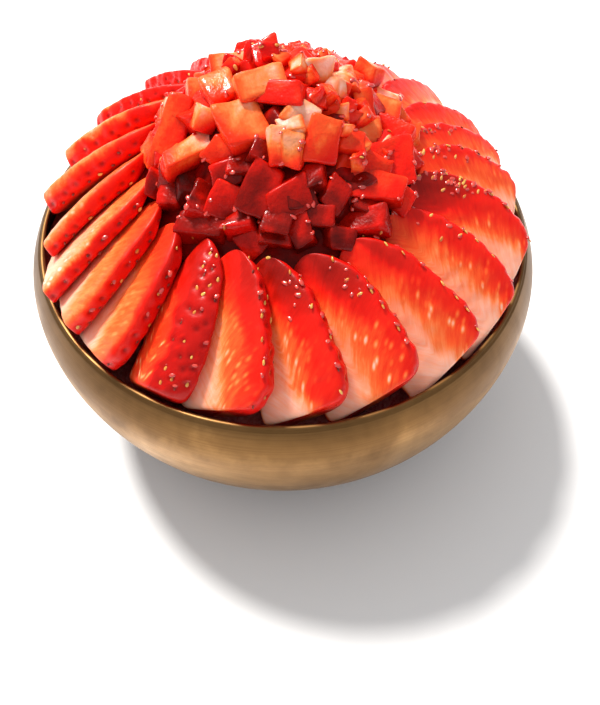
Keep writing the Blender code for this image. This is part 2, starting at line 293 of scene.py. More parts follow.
def mixColour(tree, fac, a, b):
    node = tree.nodes.new("ShaderNodeMix")
    node.data_type = "RGBA"
    for slot, value in ((node.inputs[0], fac), (node.inputs[6], a), (node.inputs[7], b)):
        if isinstance(value, (int, float, tuple)):
            slot.default_value = value
        else:
            tree.links.new(value, slot)
    return node.outputs[2]


def noise(tree, vector, scale, detail=3.0, rough=0.55, warp=0.0):
    node = tree.nodes.new("ShaderNodeTexNoise")
    node.inputs["Scale"].default_value = scale
    node.inputs["Detail"].default_value = detail
    node.inputs["Roughness"].default_value = rough
    node.inputs["Distortion"].default_value = warp
    tree.links.new(vector, node.inputs["Vector"])
    return node.outputs["Fac"]


def spread(tree, value, low, high, to0=0.0, to1=1.0):
    node = tree.nodes.new("ShaderNodeMapRange")
    tree.links.new(value, node.inputs["Value"])
    for label, number in (("From Min", low), ("From Max", high), ("To Min", to0), ("To Max", to1)):
        node.inputs[label].default_value = number
    return node.outputs["Result"]


def ramp(tree, value, stops):
    node = tree.nodes.new("ShaderNodeValToRGB")
    line = node.color_ramp
    while len(line.elements) < len(stops):
        line.elements.new(0.5)
    for element, (place, shade) in zip(line.elements, stops):
        element.position = place
        element.color = shade
    tree.links.new(value, node.inputs["Fac"])
    return node.outputs["Color"]


fleshStops = [
    (0.00, colour(66, 6, 3)),
    (0.15, colour(132, 12, 4)),
    (0.35, colour(226, 24, 11)),
    (0.55, colour(238, 55, 23)),
    (0.70, colour(246, 94, 40)),
    (0.82, colour(252, 130, 70)),
    (0.92, colour(255, 162, 125)),
    (1.00, colour(255, 194, 172)),
]


def fleshGroup():
    # Strawberry flesh: the tone goes from syrup red, which also carries painted shade, through orange to the
    # pale core, with fibres along the y of Place, which is in mm, and long light flecks where Fleck is above
    # nought
    group, first, last = newGroup(
        "fleshTone",
        [
            ("Tone", "NodeSocketFloat", 0.5),
            ("Skin", "NodeSocketFloat", 0.0),
            ("Fleck", "NodeSocketFloat", 0.0),
            ("Contrast", "NodeSocketFloat", 1.0),
            ("Place", "NodeSocketVector", None),
        ],
        [("Colour", "NodeSocketColor"), ("Height", "NodeSocketFloat"), ("Wet", "NodeSocketFloat")],
    )

    def stretched(scale):
        node = group.nodes.new("ShaderNodeMapping")
        node.inputs["Scale"].default_value = scale
        group.links.new(first.outputs["Place"], node.inputs["Vector"])
        return node.outputs[0]

    broad = noise(group, stretched((0.26, 0.10, 0.26)), 1.0, 2.0, 0.5)
    fibre = noise(group, stretched((0.85, 0.13, 0.85)), 1.0, 3.0, 0.6, 0.15)
    fine = noise(group, stretched((2.2, 0.40, 2.2)), 1.0, 2.0, 0.6)
    cells = group.nodes.new("ShaderNodeTexVoronoi")
    cells.feature = "SMOOTH_F1"
    cells.inputs["Scale"].default_value = 1.0
    cells.inputs["Smoothness"].default_value = 0.35
    group.links.new(stretched((0.46, 0.20, 0.46)), cells.inputs["Vector"])
    dot = spread(group, cells.outputs["Distance"], 0.12, 0.40, 1.0, 0.0)
    tone = first.outputs["Tone"]
    bare = math2(group, "SUBTRACT", 1.0, first.outputs["Skin"], clamp=True)
    # Fibres show in the orange zone, hardly at all in deep red and in the smooth core
    orange = spread(group, tone, 0.26, 0.54, 0.22, 1.0)
    zone = times(group, orange, spread(group, tone, 0.80, 0.97, 1.0, 0.3))
    streak = times(group, math2(group, "SUBTRACT", fibre, 0.5), 0.30)
    for cloud, share in ((fine, 0.12), (broad, 0.14)):
        streak = added(group, streak, times(group, math2(group, "SUBTRACT", cloud, 0.5), share))
    streak = times(group, streak, times(group, zone, first.outputs["Contrast"]))
    fleck = times(group, dot, first.outputs["Fleck"])
    streak = added(group, streak, times(group, fleck, 0.36))
    mixed = added(group, tone, times(group, streak, bare), clamp=True)
    group.links.new(ramp(group, mixed, fleshStops), last.inputs["Colour"])
    rise = added(group, times(group, fibre, 0.6), times(group, fine, 0.25))
    rise = added(group, rise, times(group, fleck, 0.35))
    group.links.new(rise, last.inputs["Height"])
    group.links.new(spread(group, broad, 0.35, 0.65), last.inputs["Wet"])
    return group


def attribute(tree, name, output):
    node = tree.nodes.new("ShaderNodeAttribute")
    node.attribute_name = name
    return node.outputs[output]


def startMaterial(name, values):
    material = bpy.data.materials.new(name)
    material.use_nodes = True
    tree = material.node_tree
    shader = tree.nodes["Principled BSDF"]
    for label, value in values.items():
        shader.inputs[label].default_value = value
    return material, tree, shader


fleshTone = fleshGroup()


def fleshMaterial(name, look):
    material, tree, shader = startMaterial(name, look["shader"])
    flesh = tree.nodes.new("ShaderNodeGroup")
    flesh.node_tree = fleshTone
    flesh.inputs["Contrast"].default_value = look["contrast"]
    for label, output in (("Tone", "Fac"), ("Skin", "Fac"), ("Fleck", "Fac"), ("Place", "Vector")):
        tree.links.new(attribute(tree, label.lower(), output), flesh.inputs[label])
    skin = attribute(tree, "skin", "Fac")
    pit = attribute(tree, "pit", "Fac")
    shade = mixColour(tree, times(tree, skin, 0.85), flesh.outputs["Colour"], look["skinColour"])
    # Painted shade: the dimples round the seeds are darkened by the pit colour
    shade = mixColour(tree, times(tree, pit, look["pitShadeShare"]), shade, look["pitShadeColour"])
    paint(tree, shader, shade)
    rough = spread(tree, flesh.outputs["Wet"], 0.0, 1.0, look["roughWet"], look["roughDry"])
    rough = times(tree, rough, spread(tree, skin, 0.0, 1.0, 1.0, look["skinRough"]))
    tree.links.new(rough, shader.inputs["Roughness"])
    ripple = times(tree, noise(tree, objectPlace(tree), 760.0, 2.0, 0.5), look["ripple"])
    addBump(tree, shader, added(tree, flesh.outputs["Height"], ripple), look["bump"], look["bumpDistance"])
    return material


# What the two kinds of flesh share
fleshLook = {
    "Subsurface Weight": 0.28,
    "Subsurface Scale": 0.005,
    "Subsurface Radius": (1.0, 0.30, 0.14),
    "IOR": 1.40,
}
skinRed = colour(214, 18, 12)
pitShadeRed = colour(84, 6, 8)


sliceFlesh = fleshMaterial(
    "strawberryFlesh",
    {
        "shader": {**fleshLook, "Specular IOR Level": 0.22, "Coat Weight": 0.03, "Coat Roughness": 0.10},
        "contrast": 1.0,
        "skinColour": skinRed,
        "pitShadeColour": pitShadeRed,
        "pitShadeShare": 0.66,
        "roughWet": 0.30,
        "roughDry": 0.52,
        "skinRough": 0.75,
        "bump": 0.4,
        "bumpDistance": 0.32,
        "ripple": 0.25,
    },
)

diceFlesh = fleshMaterial(
    "dicedFlesh",
    {
        "shader": {**fleshLook, "Specular IOR Level": 0.12, "Coat Weight": 0.15, "Coat Roughness": 0.07},
        "contrast": 0.5,
        "skinColour": skinRed,
        "pitShadeColour": pitShadeRed,
        "pitShadeShare": 0.8,
        "roughWet": 0.2,
        "roughDry": 0.42,
        "skinRough": 0.7,
        "bump": 0.55,
        "bumpDistance": 0.40,
        "ripple": 1.3,
    },
)


def seedMaterial():
    values = {"Roughness": 0.3, "Coat Weight": 0.3, "Coat Roughness": 0.1, "IOR": 1.45}
    material, tree, shader = startMaterial("seedHusk", values)
    stops = [
        (0.0, colour(74, 10, 8)),
        (0.30, colour(128, 34, 12)),
        (0.55, colour(206, 120, 34)),
        (1.0, colour(238, 196, 96)),
    ]
    shade = ramp(tree, attribute(tree, "tone", "Fac"), stops)
    grain = noise(tree, objectPlace(tree), 2400.0, 2.0)
    shade = mixColour(tree, spread(tree, grain, 0.4, 0.7, 0.0, 0.45), shade, colour(190, 70, 22))
    paint(tree, shader, shade)
    return material


def iceMaterial():
    # Milky ice, stained by berry juice where it shows round the rim
    values = {
        "Roughness": 0.45,
        "Subsurface Weight": 0.3,
        "Subsurface Scale": 0.004,
        "Subsurface Radius": (1.0, 0.5, 0.45),
        "IOR": 1.31,
    }
    material, tree, shader = startMaterial("shavedIce", values)
    place = objectPlace(tree)
    stain = noise(tree, place, 55.0, 4.0, 0.6, 0.5)
    grain = noise(tree, place, 900.0, 3.0, 0.7)
    stops = [
        (0.34, colour(112, 14, 18)),
        (0.50, colour(150, 30, 32)),
        (0.66, colour(196, 84, 78)),
        (0.85, colour(232, 170, 160)),
    ]
    grainShare = spread(tree, grain, 0.35, 0.75, 0.0, 0.14)
    shade = mixColour(tree, grainShare, ramp(tree, stain, stops), colour(250, 225, 220))
    paint(tree, shader, shade)
    addBump(tree, shader, grain, 0.7, 0.4)
    return material


def syrupMaterial():
    # Thick berry syrup: deep red, wet, with soft ripples
    values = {
        "Roughness": 0.3,
        "Specular IOR Level": 0.06,
        "Coat Weight": 0.04,
        "Coat Roughness": 0.06,
        "IOR": 1.4,
    }
    material, tree, shader = startMaterial("berrySyrup", values)
    place = objectPlace(tree)
    drift = noise(tree, place, 120.0, 3.0)
    stops = [(0.35, colour(76, 4, 3)), (0.55, colour(116, 8, 4)), (0.75, colour(168, 12, 10))]
    shade = ramp(tree, drift, stops)
    paint(tree, shader, shade)
    tree.links.new(spread(tree, drift, 0.3, 0.7, 0.22, 0.42), shader.inputs["Roughness"])
    addBump(tree, shader, noise(tree, place, 420.0, 2.0), 0.5, 0.6)
    return material


brassLook = {
    "bright": colour(192, 148, 94),
    "mid": colour(128, 94, 56),
    "dull": colour(66, 45, 25),
    "rough": (0.30, 0.48),
    "lines": (14.0, 14.0, 2600.0),
    "foot": (0.0, 0.050),  # the heights between which the painted dark reflection at the foot fades, m
    "edge": (0.056, 0.070),  # and where the painted dark reflection below the rim begins
}


def brassMaterial(look):
    # Spun brass: turning lines round the axis, cloudy patina, and a painted dark reflection towards the foot
    # and below the rim
    material, tree, shader = startMaterial("spunBrass", {"Metallic": 1.0, "Roughness": 0.34})
    place = objectPlace(tree)
    lines = tree.nodes.new("ShaderNodeMapping")
    lines.inputs["Scale"].default_value = look["lines"]
    tree.links.new(place, lines.inputs["Vector"])
    turning = noise(tree, lines.outputs[0], 1.0, 4.0, 0.65)
    cloud = noise(tree, place, 26.0, 4.0, 0.6, 0.6)
    spots = noise(tree, place, 160.0, 3.0, 0.6)
    split = tree.nodes.new("ShaderNodeSeparateXYZ")
    tree.links.new(place, split.inputs[0])
    # Painted reflection: the brass is darkened towards the foot and in a band below the rim, as if it
    # mirrored dark surroundings
    low = spread(tree, split.outputs["Z"], *look["foot"], 1.0, 0.0)
    high = spread(tree, split.outputs["Z"], *look["edge"], 0.0, 0.55)
    low = math2(tree, "MAXIMUM", low, high)
    patinaAndReflection = added(tree, times(tree, cloud, 0.55), times(tree, low, 0.5))
    patinaAndReflection = added(tree, patinaAndReflection, times(tree, spots, 0.18), clamp=True)
    shade = ramp(tree, patinaAndReflection, [(0.30, look["bright"]), (0.55, look["mid"]), (0.98, look["dull"])])
    shade = mixColour(tree, spread(tree, turning, 0.35, 0.65, 0.0, 0.22), shade, look["dull"])
    paint(tree, shader, shade)
    rough = added(tree, spread(tree, cloud, 0.3, 0.7, *look["rough"]), times(tree, turning, 0.06))
    tree.links.new(rough, shader.inputs["Roughness"])
    addBump(tree, shader, turning, 0.22, 0.12)
    return material


def wetMaterial():
    # Syrup standing in drops: a lighter red, wet
    material, tree, shader = startMaterial("syrupDrops", {"Roughness": 0.26, "IOR": 1.9})
    drift = noise(tree, objectPlace(tree), 300.0, 2.0)
    shade = ramp(tree, drift, [(0.35, colour(180, 20, 12)), (0.7, colour(222, 58, 34))])
    paint(tree, shader, shade)
    return material


wetSyrup = wetMaterial()
seedHusk = seedMaterial()
shavedIce = iceMaterial()
berrySyrup = syrupMaterial()
spunBrass = brassMaterial(brassLook)
print("finishes ready")


# The bowl, in mm

bowl = {
    "height": 75.0,
    "rim": 80.0,
    "bulge": 85.0,
    "bulgeDrop": 15.3,
    "wall": 1.6,
    "floorTop": 2.4,
    "foot": 38.0,
    "footInner": 33.5,
    "footRecess": 1.1,
    "lowerPower": 1.78,
    "segments": 224,
}


def lowerWall(radius, depth, foot, count):
    # r = r0 + (R - r0) cos(t)^(2/n), z = top - (top - depth) sin(t)^(2/n), t from the bulge down to the foot
    t = 0.5 * math.pi * np.linspace(0.0, 1.0, count)
    top = bowl["height"] - bowl["bulgeDrop"]
    side = np.clip(np.cos(t), 0.0, 1.0) ** (2.0 / bowl["lowerPower"])
    down = np.sin(t) ** (2.0 / bowl["lowerPower"])
    return np.stack([foot + (radius - foot) * side, top - (top - depth) * down], axis=1)


def upperWall(radius, edge, count):
    # r = R - (R - edge) u^2.2, z = top + bulgeDrop u, for u from the bulge up to the rim
    u = np.linspace(0.0, 1.0, count)[1:]
    z = bowl["height"] - bowl["bulgeDrop"] * (1.0 - u)
    return np.stack([radius - (radius - edge) * u**2.2, z], axis=1)


def turned(name, profile, segments, material, wobble=None):
    # A profile of (r, z) turned about Z: x = r cos(a), y = r sin(a), with its two ends on the axis
    a = np.linspace(0.0, 2.0 * math.pi, segments, endpoint=False)
    rings = circled(profile[1:-1, 0][:, None], a, profile[1:-1, 1][:, None])
    if wobble is not None:
        rings = wobble(rings)
    poles = [(0.0, 0.0, profile[k, 1]) for k in (0, -1)]
    return meshObject(name, *closed(rings, *poles), {}, material)


def makeBowl():
    outer = lowerWall(bowl["bulge"], 0.0, bowl["foot"], 64)[::-1]
    outer = np.concatenate([outer, upperWall(bowl["bulge"], bowl["rim"] + 0.15, 26)])
    r, z = outer[-1]
    # The lip is a half round from the outer wall over to the inner one
    turn = np.linspace(0.0, math.pi, 9)[1:]
    half = 0.5 * bowl["wall"]
    lip = np.stack([r - half + half * np.cos(turn), z - 0.5 + 0.5 * np.sin(turn)], axis=1)
    outer[-1, 1] = z - 0.5
    inner = upperWall(bowl["bulge"] - bowl["wall"], bowl["rim"] - bowl["wall"] + 0.15, 20)[:-1][::-1]
    low = lowerWall(bowl["bulge"] - bowl["wall"], bowl["floorTop"], bowl["foot"] - 1.0, 40)
    recess, ring = bowl["footRecess"], bowl["footInner"]
    under = [(0.0, recess), (ring - 1.2, recess), (ring - 0.6, 0.8), (ring, 0.0)]
    profile = np.concatenate([under, outer, lip, inner, low, [(0.0, bowl["floorTop"])]])
    item = turned("brassBowl", profile, bowl["segments"], spunBrass)
    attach(item, "root")
    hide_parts("bowl")
    return item


makeBowl()
print("bowl made")


# The ice, in mm: its heights are above the rim

ice = {
    "gap": 0.7,  # to the metal
    "margin": -12.6,
    "slope": 0.92,
    "top": 19.5,  # the height at the inner radius
    "inner": 40.0,
    "plateau": 24.2,
    "segments": 360,
    "seed": 5,
}


def moundHeight(r, a):
    # Height above the rim: a slope of 0.92 from 19.5 at r = 40 down to the margin, a flat top inside r = 36
    inner = ice["inner"]
    slope = ice["top"] - ice["slope"] * (r - inner)
    flat = np.minimum(ice["top"] + 1.2 * (inner - r), ice["plateau"])
    ripple = 0.3 * np.sin(5.0 * a + 0.08 * r) + 0.2 * np.sin(11.0 * a - 0.11 * r)
    height = np.where(r < inner, flat, np.maximum(slope, ice["margin"]))
    return height + ripple * np.clip((78.0 - r) / 10.0, 0.0, 1.0) - 0.5


def makeIce():
    rng = np.random.default_rng(ice["seed"])
    edge = bowl["bulge"] - bowl["wall"] - ice["gap"]
    below = lowerWall(edge, bowl["floorTop"] + ice["gap"], bowl["foot"] - 1.4, 24)[::-1]
    wall = [edge, edge - 0.2, edge - 0.6]
    radii = np.concatenate([wall, np.linspace(edge - 1.2, 34.0, 76), [26.0, 16.0, 6.0]])
    a = np.linspace(0.0, 2.0 * math.pi, ice["segments"], endpoint=False)
    lower = circled(below[:-1, 0][:, None], a, below[:-1, 1][:, None])
    top = circled(radii[:, None], a, bowl["height"] + moundHeight(radii[:, None], a))
    # Granules: short waves of up to 0.6 mm about a level 0.45 mm lower, none at the wall
    flat = top.reshape(-1, 3)
    rough = waves(flat, rng, 4.5) * 0.35 + waves(flat, rng, 1.9) * 0.25
    fade = np.clip((edge - np.hypot(flat[:, 0], flat[:, 1])) / 3.0, 0.0, 1.0)
    flat[:, 2] += (rough - 0.45) * fade
    rings = np.concatenate([lower, flat.reshape(top.shape)])
    poles = (0.0, 0.0, bowl["floorTop"] + ice["gap"]), (0.0, 0.0, bowl["height"] + ice["plateau"])
    item = meshObject("iceMound", *closed(rings, *poles), {}, shavedIce)
    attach(item, "root")
    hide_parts("ice")
    return item


makeIce()
print("ice made")


# The fan of slices, in mm and degrees

fan = {
    "outer": 77.0,
    "top": 41.35,
    "drop": 38.1,
    "power": 1.84,
    "tiltOuter": 24.8,
    "tiltInner": 29.6,
    "thickest": 8.0,
    "hull": 0.74,  # the other slices' share
    # How wide the hull ends are, as a share of the widest: where a slice has its own, by slice
    "hulls": {3: 0.84, 4: 0.88, 5: 0.88, 6: 0.9, 7: 0.94, 8: 0.88, 11: 0.64, 12: 0.66},
    "tuckedHull": 1.05,
    "widest": 0.2,
    "clearance": 0.1,
    "middle": 60.0,  # a radius half way along the slices
    "corner": 10.0,  # power of the smooth minimum that rounds the cut edges
    "crestRound": 4.0,  # taken off it towards the crest, which is rounder
    "capTrim": 0.86,  # the cap is a little narrower where it shows its seeds
    "rimFollow": 0.7,  # how far the hull ends turn to the rim's circle
    "rimGap": 0.4,
    "rimReach": 0.36,  # the share of a slice's length over which that fades
    "bend": 9.0,  # how far in a fibre runs before it turns out to the crest, mm
    "stations": 96,
    "dimple": 0.5,  # how deep the dimples are round the seeds
    "dimpleSize": 1.1,
    "pitSize": 0.8,  # and how far the painted shade in them reaches
    "seedGap": 5.2,
    "seedSize": (1.7, 0.95, 0.55),
    "seedSink": {"front": 0.58, "side": 0.74},  # how deep the seeds sit in their dimples
    # Drops of syrup and loose seeds on the faces, by slice
    "wetSlices": {12: 14, 13: 8, 15: 12, 16: 64, 17: 26, 18: 18},
    "seedBase": 100,
    "dropBase": 700,
}

# In order round the bowl: azimuth at the rim, azimuth inside, half width, outer radius, inner radius, cut
# height, lift
slices = [
    (107.8, 102.3, 14.3, 77.3, 41.0, 0.35, 0.5),
    (121.8, 114.9, 15.4, 77.4, 41.5, 0.1, 0.0),
    (139.9, 127.5, 14.8, 77.8, 40.6, 0.45, 0.3),
    (154.5, 139.7, 14.6, 78.1, 41.0, 0.05, 0.0),
    (170.0, 159.6, 14.4, 78.2, 40.8, 0.3, 0.3),
    (187.4, 177.4, 14.1, 76.3, 41.6, 0.15, 0.0),
    (198.3, 195.7, 14.4, 79.0, 40.6, 0.4, 0.2),
    (209.6, 210.6, 14.2, 78.1, 41.0, 0.1, 0.3),
    (222.6, 223.5, 14.2, 78.4, 42.0, 0.25, 0.0),
    (240.5, 240.0, 14.6, 78.1, 40.8, 1.0, 0.3),
    (257.2, 252.4, 14.6, 77.4, 41.2, 0.2, 0.2),
    (275.6, 264.4, 13.8, 77.2, 42.0, 0.3, 0.2),
    (290.9, 279.7, 15.7, 77.0, 41.6, 0.35, 0.0),
    (309.6, 297.5, 14.8, 78.2, 41.0, 0.25, 0.2),
    (325.2, 320.5, 14.2, 78.5, 40.8, 0.2, 0.2),
    (341.2, 342.4, 14.4, 78.0, 40.6, 0.4, 0.3),
    (358.4, 356.2, 13.6, 76.2, 41.0, 0.3, 0.0),
    (370.4, 368.9, 12.8, 75.6, 40.8, 0.15, 0.2),
    (382.4, 383.0, 12.6, 77.1, 41.6, 0.35, 0.0),
    (398.0, 396.4, 13.6, 76.7, 40.8, 0.2, 0.2),
    (410.0, 409.9, 14.5, 77.5, 41.0, 0.4, 0.0),
    (426.2, 424.2, 14.3, 77.3, 41.4, 0.1, 0.3),
    (441.0, 437.0, 14.3, 77.0, 40.8, 0.3, 0.0),
    (454.7, 449.7, 14.0, 77.6, 41.0, 0.25, 0.2),
]
sliceNames = ["slice_%02d" % (k + 1) for k in range(len(slices))]

# How each cut face is coloured. The showing part of a face runs from 0, where the next slice covers it, to 1
# at its own crest. Where the pale core ends at the hull, a third in and two thirds in; where the red margin
# begins at the same places; the tone between them; flecks; syrup soak with painted shade near the heap; how
# far the face turns over the crest; the share of yellow seeds
sliceLooks = [
    (0.3, 0.2, 0.1, 0.95, 0.9, 0.75, 0.7, 0.4, 0.3, 0.3, 0.2),
    (0.35, 0.2, 0.05, 1.0, 0.9, 0.75, 0.7, 0.4, 0.3, 0.35, 0.2),
    (0.45, 0.3, 0.1, 1.1, 1.06, 0.9, 0.8, 0.3, 0.3, 0.46, 0.1),
    (0.7, 0.6, 0.4, 1.2, 1.18, 1.06, 0.82, 0.3, 0.2, 0.55, 0.1),
    (0.6, 0.45, 0.2, 1.24, 1.22, 1.1, 0.76, 0.3, 0.2, 0.56, 0.1),
    (0.65, 0.5, 0.3, 1.24, 1.22, 1.12, 0.76, 0.4, 0.2, 0.56, 0.1),
    (0.7, 0.6, 0.5, 1.18, 1.18, 1.05, 0.8, 0.8, 0.2, 0.5, 0.1),
    (0.6, 0.28, 0.1, 1.14, 1.14, 1.08, 0.7, 0.1, 0.3, 0.44, 0.4),
    (0.55, 0.28, 0.05, 1.05, 1.03, 0.98, 0.65, 0.3, 0.4, 0.36, 0.2),
    (-0.6, -0.5, -0.5, 0.95, 0.8, 0.35, 0.6, 1.0, 0.7, 0.1, 0.5),
    (0.36, 0.22, 0.02, 0.84, 0.72, 0.5, 0.66, 0.6, 0.7, 0.12, 0.6),
    (0.45, 0.18, -0.05, 0.68, 0.66, 0.18, 0.66, 0.8, 0.95, 0.12, 0.7),
    (0.28, 0.14, 0.02, 0.84, 0.7, 0.3, 0.64, 1.0, 0.85, 0.12, 0.5),
    (0.53, 0.27, 0.22, 0.84, 0.76, 0.48, 0.63, 1.0, 0.6, 0.12, 0.6),
    (0.5, 0.26, 0.36, 0.8, 0.7, 0.6, 0.63, 1.0, 0.35, 0.12, 0.5),
    (0.58, 0.24, -0.2, 0.84, 0.64, 0.06, 0.6, 0.8, 0.85, 0.12, 0.8),
    (0.45, 0.1, 0.0, 0.92, 0.86, 0.62, 0.66, 0.4, 0.35, 0.15, 0.4),
    (0.3, 0.1, 0.0, 0.88, 0.82, 0.62, 0.62, 0.4, 0.3, 0.15, 0.3),
    (0.1, 0.05, 0.0, 0.8, 0.7, 0.55, 0.58, 0.4, 0.3, 0.15, 0.3),
    (0.2, 0.1, 0.0, 0.85, 0.78, 0.6, 0.62, 0.3, 0.3, 0.15, 0.2),
    (0.2, 0.2, 0.1, 0.85, 0.75, 0.6, 0.68, 0.4, 0.3, 0.15, 0.2),
    (0.3, 0.2, 0.1, 0.85, 0.78, 0.6, 0.7, 0.4, 0.3, 0.15, 0.2),
    (0.25, 0.2, 0.1, 0.85, 0.75, 0.6, 0.66, 0.4, 0.3, 0.15, 0.2),
    (0.3, 0.2, 0.1, 0.88, 0.78, 0.6, 0.68, 0.4, 0.3, 0.15, 0.2),
]

# Where a face comes out from under its neighbour, as a share of its half width, near the hull, a third and
# two thirds of the way in, by slice. The others take it from the pitch of the fan.
shownFrom = {
    11: (-0.7, -0.4, -0.25),
    12: (-0.7, -0.35, -0.15),
    13: (-0.45, -0.15, -0.15),
    14: (-0.5, -0.2, -0.1),
    15: (-0.35, -0.15, -0.3),
    16: (-0.15, -0.1, -0.25),
    17: (0.1, 0.2, 0.1),
    18: (0.35, 0.3, 0.2),
    19: (0.4, 0.3, 0.15),
    20: (0.35, 0.2, 0.05),
}


def hullOf(index):
    # How wide the hull end is: each slice's own share, or the fan's
    return fan["hulls"].get(index + 1, fan["hull"])


def outline(s, hullShare):
    # Half width over its widest: 1 - (1 - hull) ((w - s) / w)^2.4 up to s = w, then (1 - u^2.2)^0.55
    wide = fan["widest"]
    hull = 1.0 - (1.0 - hullShare) * (np.clip(wide - s, 0.0, 1.0) / wide) ** 2.4
    tip = (1.0 - (np.clip(s - wide, 0.0, 1.0) / (1.0 - wide)) ** 2.2) ** 0.55
    return hull * tip


def fanPoint(r, a):
    # Height of the fan: z = top - drop (r / outer)^power, measured from the rim
    z = bowl["height"] + fan["top"] - fan["drop"] * (r / fan["outer"]) ** fan["power"]
    return circled(r, a, z)


def sliceFrame(row, s):
    # Centre C, width direction W and face normal M at each s: T runs along the slice, B is level and across,
    # U = B x T, W = cos(tilt) B + sin(tilt) U, M = cos(tilt) U - sin(tilt) B
    azimuthOut, azimuthIn, half, outer, inner, cut, lift = row
    a = np.radians(azimuthOut + (azimuthIn - azimuthOut) * s)
    r = outer + (inner - outer) * s
    step = 1e-4
    centre = fanPoint(r, a)
    onward = a + math.radians(azimuthIn - azimuthOut) * step
    along = unit(fanPoint(r + (inner - outer) * step, onward) - centre)
    side = np.stack([-np.sin(a), np.cos(a), 0.0 * a], axis=-1)
    side = unit(side - along * np.sum(side * along, axis=-1, keepdims=True))
    up = np.cross(side, along)
    tilt = tiltOf(s)[..., None]
    width = np.cos(tilt) * side + np.sin(tilt) * up
    normal = np.cos(tilt) * up - np.sin(tilt) * side
    return centre + normal * lift, width, normal, along


def tiltOf(s):
    return np.radians(fan["tiltOuter"] + (fan["tiltInner"] - fan["tiltOuter"]) * s)


def gapTo(row, other, s):
    # The angle from one slice to another, as it runs from the rim inwards
    return np.radians(((other[0] - row[0]) % 360.0) * (1.0 - s) + ((other[1] - row[1]) % 360.0) * s)


def tipped(t, s):
    # A slice thins where it narrows to its tip
    return t * np.minimum(1.0, outline(s, 0.62) / 0.62)


def thickness(index, s):
    # The room to the next slice anticlockwise, r dphi sin(tilt), less the clearance, up to the thickest
    row, other = slices[index], slices[(index + 1) % len(slices)]
    r = row[3] + (row[4] - row[3]) * s
    swirl = math.atan(math.radians(other[1] - other[0]) * fan["middle"] / (other[3] - other[4]))
    room = math.cos(swirl) * r * gapTo(row, other, s) * np.sin(tiltOf(s))
    return np.minimum(room - fan["clearance"] + (row[6] - other[6]), fan["thickest"])


def coveredTo(index, s):
    # Where the next slice clockwise stops covering this one, as a share of the half width:
    # (its half width - the pitch between the two) / this half width
    row, other = slices[index], slices[index - 1]
    pitch = gapTo(other, row, s) * (row[3] + (row[4] - row[3]) * s)
    shape = np.maximum(outline(s, hullOf(index)), 0.12) * np.cos(tiltOf(s))
    return np.clip((other[2] * shape - pitch) / (row[2] * shape), -1.0, 0.7)


def crossSection(row, s, thick, theta, hull):
    # Distance from the section's middle in direction theta: a smooth minimum, (sum of d^-p)^(-1/p), of the
    # distances to the cut face, to the underside and to the berry's round skin, an ellipse round z = -cut t
    half, cut = row[2], row[5]
    shape = outline(s, hull)
    tucked = outline(s, fan["tuckedHull"])
    t = tipped(thick, s)[:, None]
    cap = cut > 0.9
    trim = fan["capTrim"] if cap else 1.0
    wide = np.where(np.cos(theta)[None, :] < 0.0, (half * tucked)[:, None], (half * trim * shape)[:, None])
    tall = 1.18 * t if cap else np.maximum(0.95 * half * shape[:, None], 1.12 * t)
    middle = -0.5 * t
    offset = middle + cut * t
    c, n = np.cos(theta)[None, :], np.sin(theta)[None, :]
    qa = (c / wide) ** 2 + (n / tall) ** 2
    qb = 2.0 * offset * n / tall**2
    qc = (offset / tall) ** 2 - 1.0
    skin = (-qb + np.sqrt(np.maximum(qb * qb - 4.0 * qa * qc, 0.0))) / (2.0 * qa)
    top = 0.5 * t / np.maximum(n, 1e-3)
    low = 0.5 * t / np.maximum(-n, 1e-3)
    p = fan["corner"] - fan["crestRound"] * smoothStep(0.1, 0.7, c)
    total = skin**-p + low**-p
    if not cap:
        total = total + top**-p
    reach = total ** (-1.0 / p)
    return reach, skin, middle, wide, t


def sectionAngles():
    # Directions round the section, closer together at its two edges: over the face, the skin, the underside
    face = np.linspace(-1.0, 1.0, 50)
    face = np.sign(face) * (1.0 - (1.0 - np.abs(face)) ** 1.25) * 12.9
    over = np.arctan2(3.0, face)
    side = np.arctan2(np.linspace(2.8, -2.8, 15)[1:-1], 13.2)
    under = np.arctan2(-3.0, -face[::3])
    back = np.arctan2(np.linspace(-2.8, 2.8, 9)[1:-1], -13.2)
    return np.concatenate([over, side, under, back])


def seedSpots(row, wrap, rng):
    # Staggered rows of seeds on the skin: (s, share of the thickness), or shares of the dome where the slice
    # is a cap
    step = fan["seedGap"] / (row[3] - row[4] + 3.0)
    rows = [0.08, 0.48, 0.88] if wrap < 0.25 else [wrap + 0.08, wrap + 0.42]
    if row[5] > 0.9:
        rows = [0.30, 0.47, 0.64, 0.81]
    spots = []
    for k, share in enumerate(rows):
        line = np.arange(0.06 + 0.5 * step * (k % 2), 0.93, step)
        line = line + rng.uniform(-0.22, 0.22, len(line)) * step
        spots.append(np.stack([line, share + rng.uniform(-0.06, 0.06, len(line))], axis=1))
    return np.concatenate(spots)


def seedPlaces(row, index, spots):
    # A seed's point on the berry's ellipse, with the outward normal and the way along the slice
    s = np.clip(spots[:, 0], 0.0, 0.98)
    centre, width, normal, along = sliceFrame(row, s)
    shape = outline(s, hullOf(index))
    t = tipped(thickness(index, s), s)
    half, cut = row[2] * shape, row[5]
    if cut > 0.9:
        angle = spots[:, 1] * 1.45
        tall = 1.18 * t
        y = half * fan["capTrim"] * np.sin(angle)
        z = -cut * t + tall * np.cos(angle)
    else:
        tall = np.maximum(0.95 * half, 1.12 * t)
        z = -t * np.clip(spots[:, 1], 0.02, 0.95)
        y = half * np.sqrt(np.clip(1.0 - ((z + cut * t) / tall) ** 2, 0.05, 1.0))
    out = (y / half**2)[:, None] * width + ((z + cut * t) / tall**2)[:, None] * normal
    return centre + y[:, None] * width + z[:, None] * normal, unit(out), along


